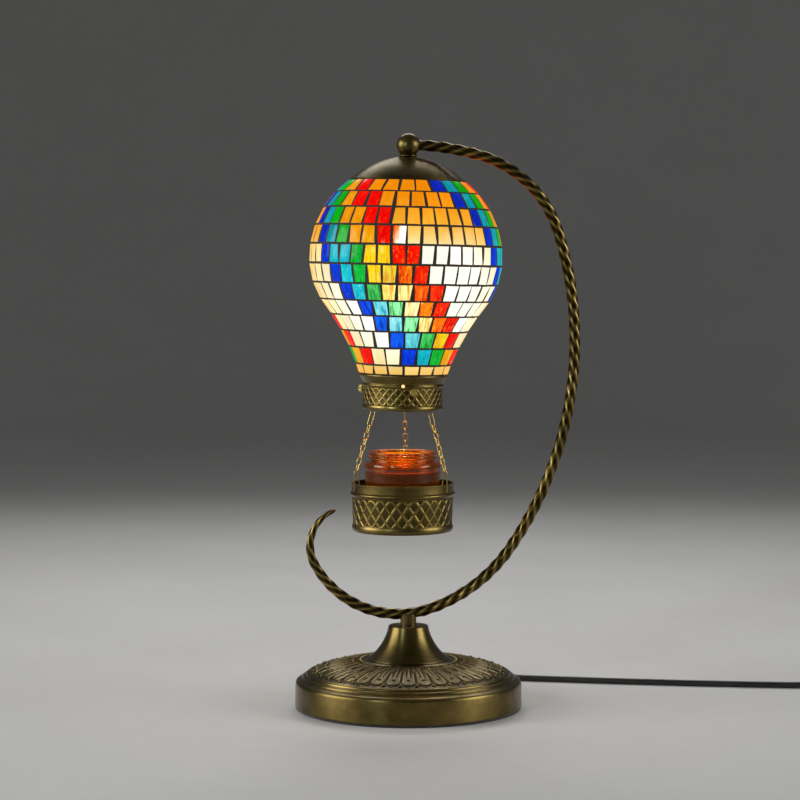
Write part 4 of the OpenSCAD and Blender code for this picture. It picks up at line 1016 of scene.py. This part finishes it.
def round_rect(x, y, length, width, r, n=10):
    """Outline of a rectangle with rounded corners."""
    out = []
    for sx, sy, a in ((1, 1, 0), (-1, 1, 90), (-1, -1, 180), (1, -1, 270)):
        for k in range(n + 1):
            t = math.radians(a + 90 * k / n)
            out.append((x + sx * (length / 2 - r) + r * math.cos(t),
                        y + sy * (width / 2 - r) + r * math.sin(t)))
    return out


SWITCH = (416, 86)
switch_line = round_rect(*SWITCH, 60, 24, 7)
low = Shape()
block(low, switch_line, 0, 9.4, 1.2)
low.piece("switch_bottom", plastic, "lamp", ["switch_lower"], "black_plastic")

# upper half with an opening for the rocker
opening = round_rect(*SWITCH, 20.6, 11.2, 0.8)
UPPER_RINGS = ((9.5, 0), (13.2, 0), (14.6, 0.5), (15.4, 1.5), (15.7, 3))
rings = [inset_ring(switch_line, inset, z) for z, inset in UPPER_RINGS]
rings += [inset_ring(round_rect(*SWITCH, 21, 11.6, 0.8), 0, 15.7), inset_ring(opening, 0, 15.2),
          inset_ring(opening, 0, 9.5)]
upper = Shape()
upper.add(sum(rings, []), grid_faces(len(rings), len(switch_line), closed=True, flip=True))
upper.piece("switch_top", plastic, "lamp", ["switch_upper"], "black_plastic")

# side of the rocker, about its axle, and its slices across the switch with the size of each
ROCKER = [(-9.5, 3.4), (-9.2, 3.8), (-8.5, 4.0), (-6, 3.5), (-3, 2.9), (0, 2.6), (3, 2.9), (6, 3.5),
          (8.5, 4.0), (9.2, 3.8), (9.5, 3.4), (9.5, 0.6), (3, -1.6), (1.4, -3.4), (-1.4, -3.4), (-3, -1.6),
          (-9.5, 0.6)]
SLICES = ((-5.2, 0.93), (-5.0, 0.98), (-4.6, 1.0), (4.6, 1.0), (5.0, 0.98), (5.2, 0.93))
n = len(ROCKER)
rocker = Shape()
rocker.add([(x * q, y, 1 + (z - 1) * q) for y, q in SLICES for x, z in ROCKER],
           grid_faces(len(SLICES), n, closed=True, flip=True) + end_caps(len(SLICES), n),
           at=moved(*SWITCH, 14) @ turned(7, "Y"))
rocker.piece("rocker", rocker_mat, "rocker", ["switch_rocker"], "rocker_plastic")

PLUG_X, PLUG_Y = 454, 9
plug = Shape()
side = [(-4, 4.6), (-8, 5.2), (-12, 6.2), (-16, 8.4), (-20, 11), (-23, 12.4), (-26, 13), (-34.6, 13),
        (-36, 12.2)]
block(plug, [(PLUG_X + x, PLUG_Y + y) for x, y in side] + [(PLUG_X + x, PLUG_Y - y) for x, y in side[::-1]],
      0.2, 13.8, 2.4)
plug.lathe([(4.3, -4.2), (4.4, -3.6), (4.0, -2.6), (4.1, -1.8), (3.7, -1.0), (3.75, -0.3), (3.4, 0),
            (2.7, 0)], seg=40,
           soft=0.2, at=moved(PLUG_X, PLUG_Y, 7) @ turned(90, "Y"))
plug.piece("plug_housing", plastic, "lamp", ["plug_body"], "black_plastic")

# ---- cord facts
curve.materials.append(pvc)
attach(cord, "lamp")
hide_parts("cord_lead", "cord_link", "cord_coil", "cord_end")

# ---- floor and light
floor_me = bpy.data.meshes.new("floor")
floor_line = [(0.01, 0), (1.0, 0), (2.4, 0), (3.4, 0)]
floor_line += [(3.4 + 1.6 * math.sin(a), 1.6 - 1.6 * math.cos(a)) for a in np.radians(np.arange(5, 91, 5))]
floor_line += [(5.0, 2.4), (5.0, 3.2)]
FLOOR_SEG = 96
turns = [2 * math.pi * j / FLOOR_SEG for j in range(FLOOR_SEG)]
floor_me.from_pydata([(r * math.cos(a), r * math.sin(a), z - 0.0002) for a in turns for r, z in floor_line],
                     [], grid_faces(FLOOR_SEG, len(floor_line), around=True))
floor_me.shade_smooth()
floor = new_object("floor", floor_me)
floor_me.materials.append(rough_material("floor", (0.60, 0.59, 0.575), (0.63, 0.62, 0.605), 40, (0.55, 0.65),
                                         0.03, 0.0003))

# narrow beams, so that the floor near the lights stays even
LIGHT_SPREAD = math.radians(80)


def area(name, location, target, size, power, colour=(1, 1, 1)):
    """Rectangular light that points from its location at a target."""
    data = bpy.data.lights.new(name, "AREA")
    data.shape = "RECTANGLE"
    data.size, data.size_y = size
    data.energy = power
    data.color = colour
    data.spread = LIGHT_SPREAD
    ob = new_object(name, data)
    ob.location = location
    ob.rotation_euler = (Vector(target) - Vector(location)).to_track_quat("-Z", "Y").to_euler()


area("key_left", (-2.40, -0.42, 0.96), (0, 0, 0.20), (1.9, 1.3), 10.5)
area("key_right", (2.34, -0.64, 0.96), (0, 0, 0.20), (1.6, 1.3), 7.5)
area("top", (0, 1.7, 1.7), (0, 0.5, 0.0), (1.6, 0.6), 4)
area("cool_spot", (-1.15, -1.85, 0.80), (0, 0, 0.25), (0.28, 0.28), 1.6, (0.75, 0.95, 1.0))
inside = bpy.data.lights.new("inside_shade", "POINT")
inside.energy = 1.2
inside.color = (1, 0.68, 0.36)
inside.shadow_soft_size = 0.02
new_object("inside_shade", inside).location = BALLOON @ Vector((0, 0, 0.352))

world = bpy.data.worlds.new("studio")
world.use_nodes = True
feed(world.node_tree, world.node_tree.nodes["Background"], {"Color": (0.60, 0.60, 0.61), "Strength": 0.21})
scene.world = world
scene.view_settings.view_transform = "Standard"
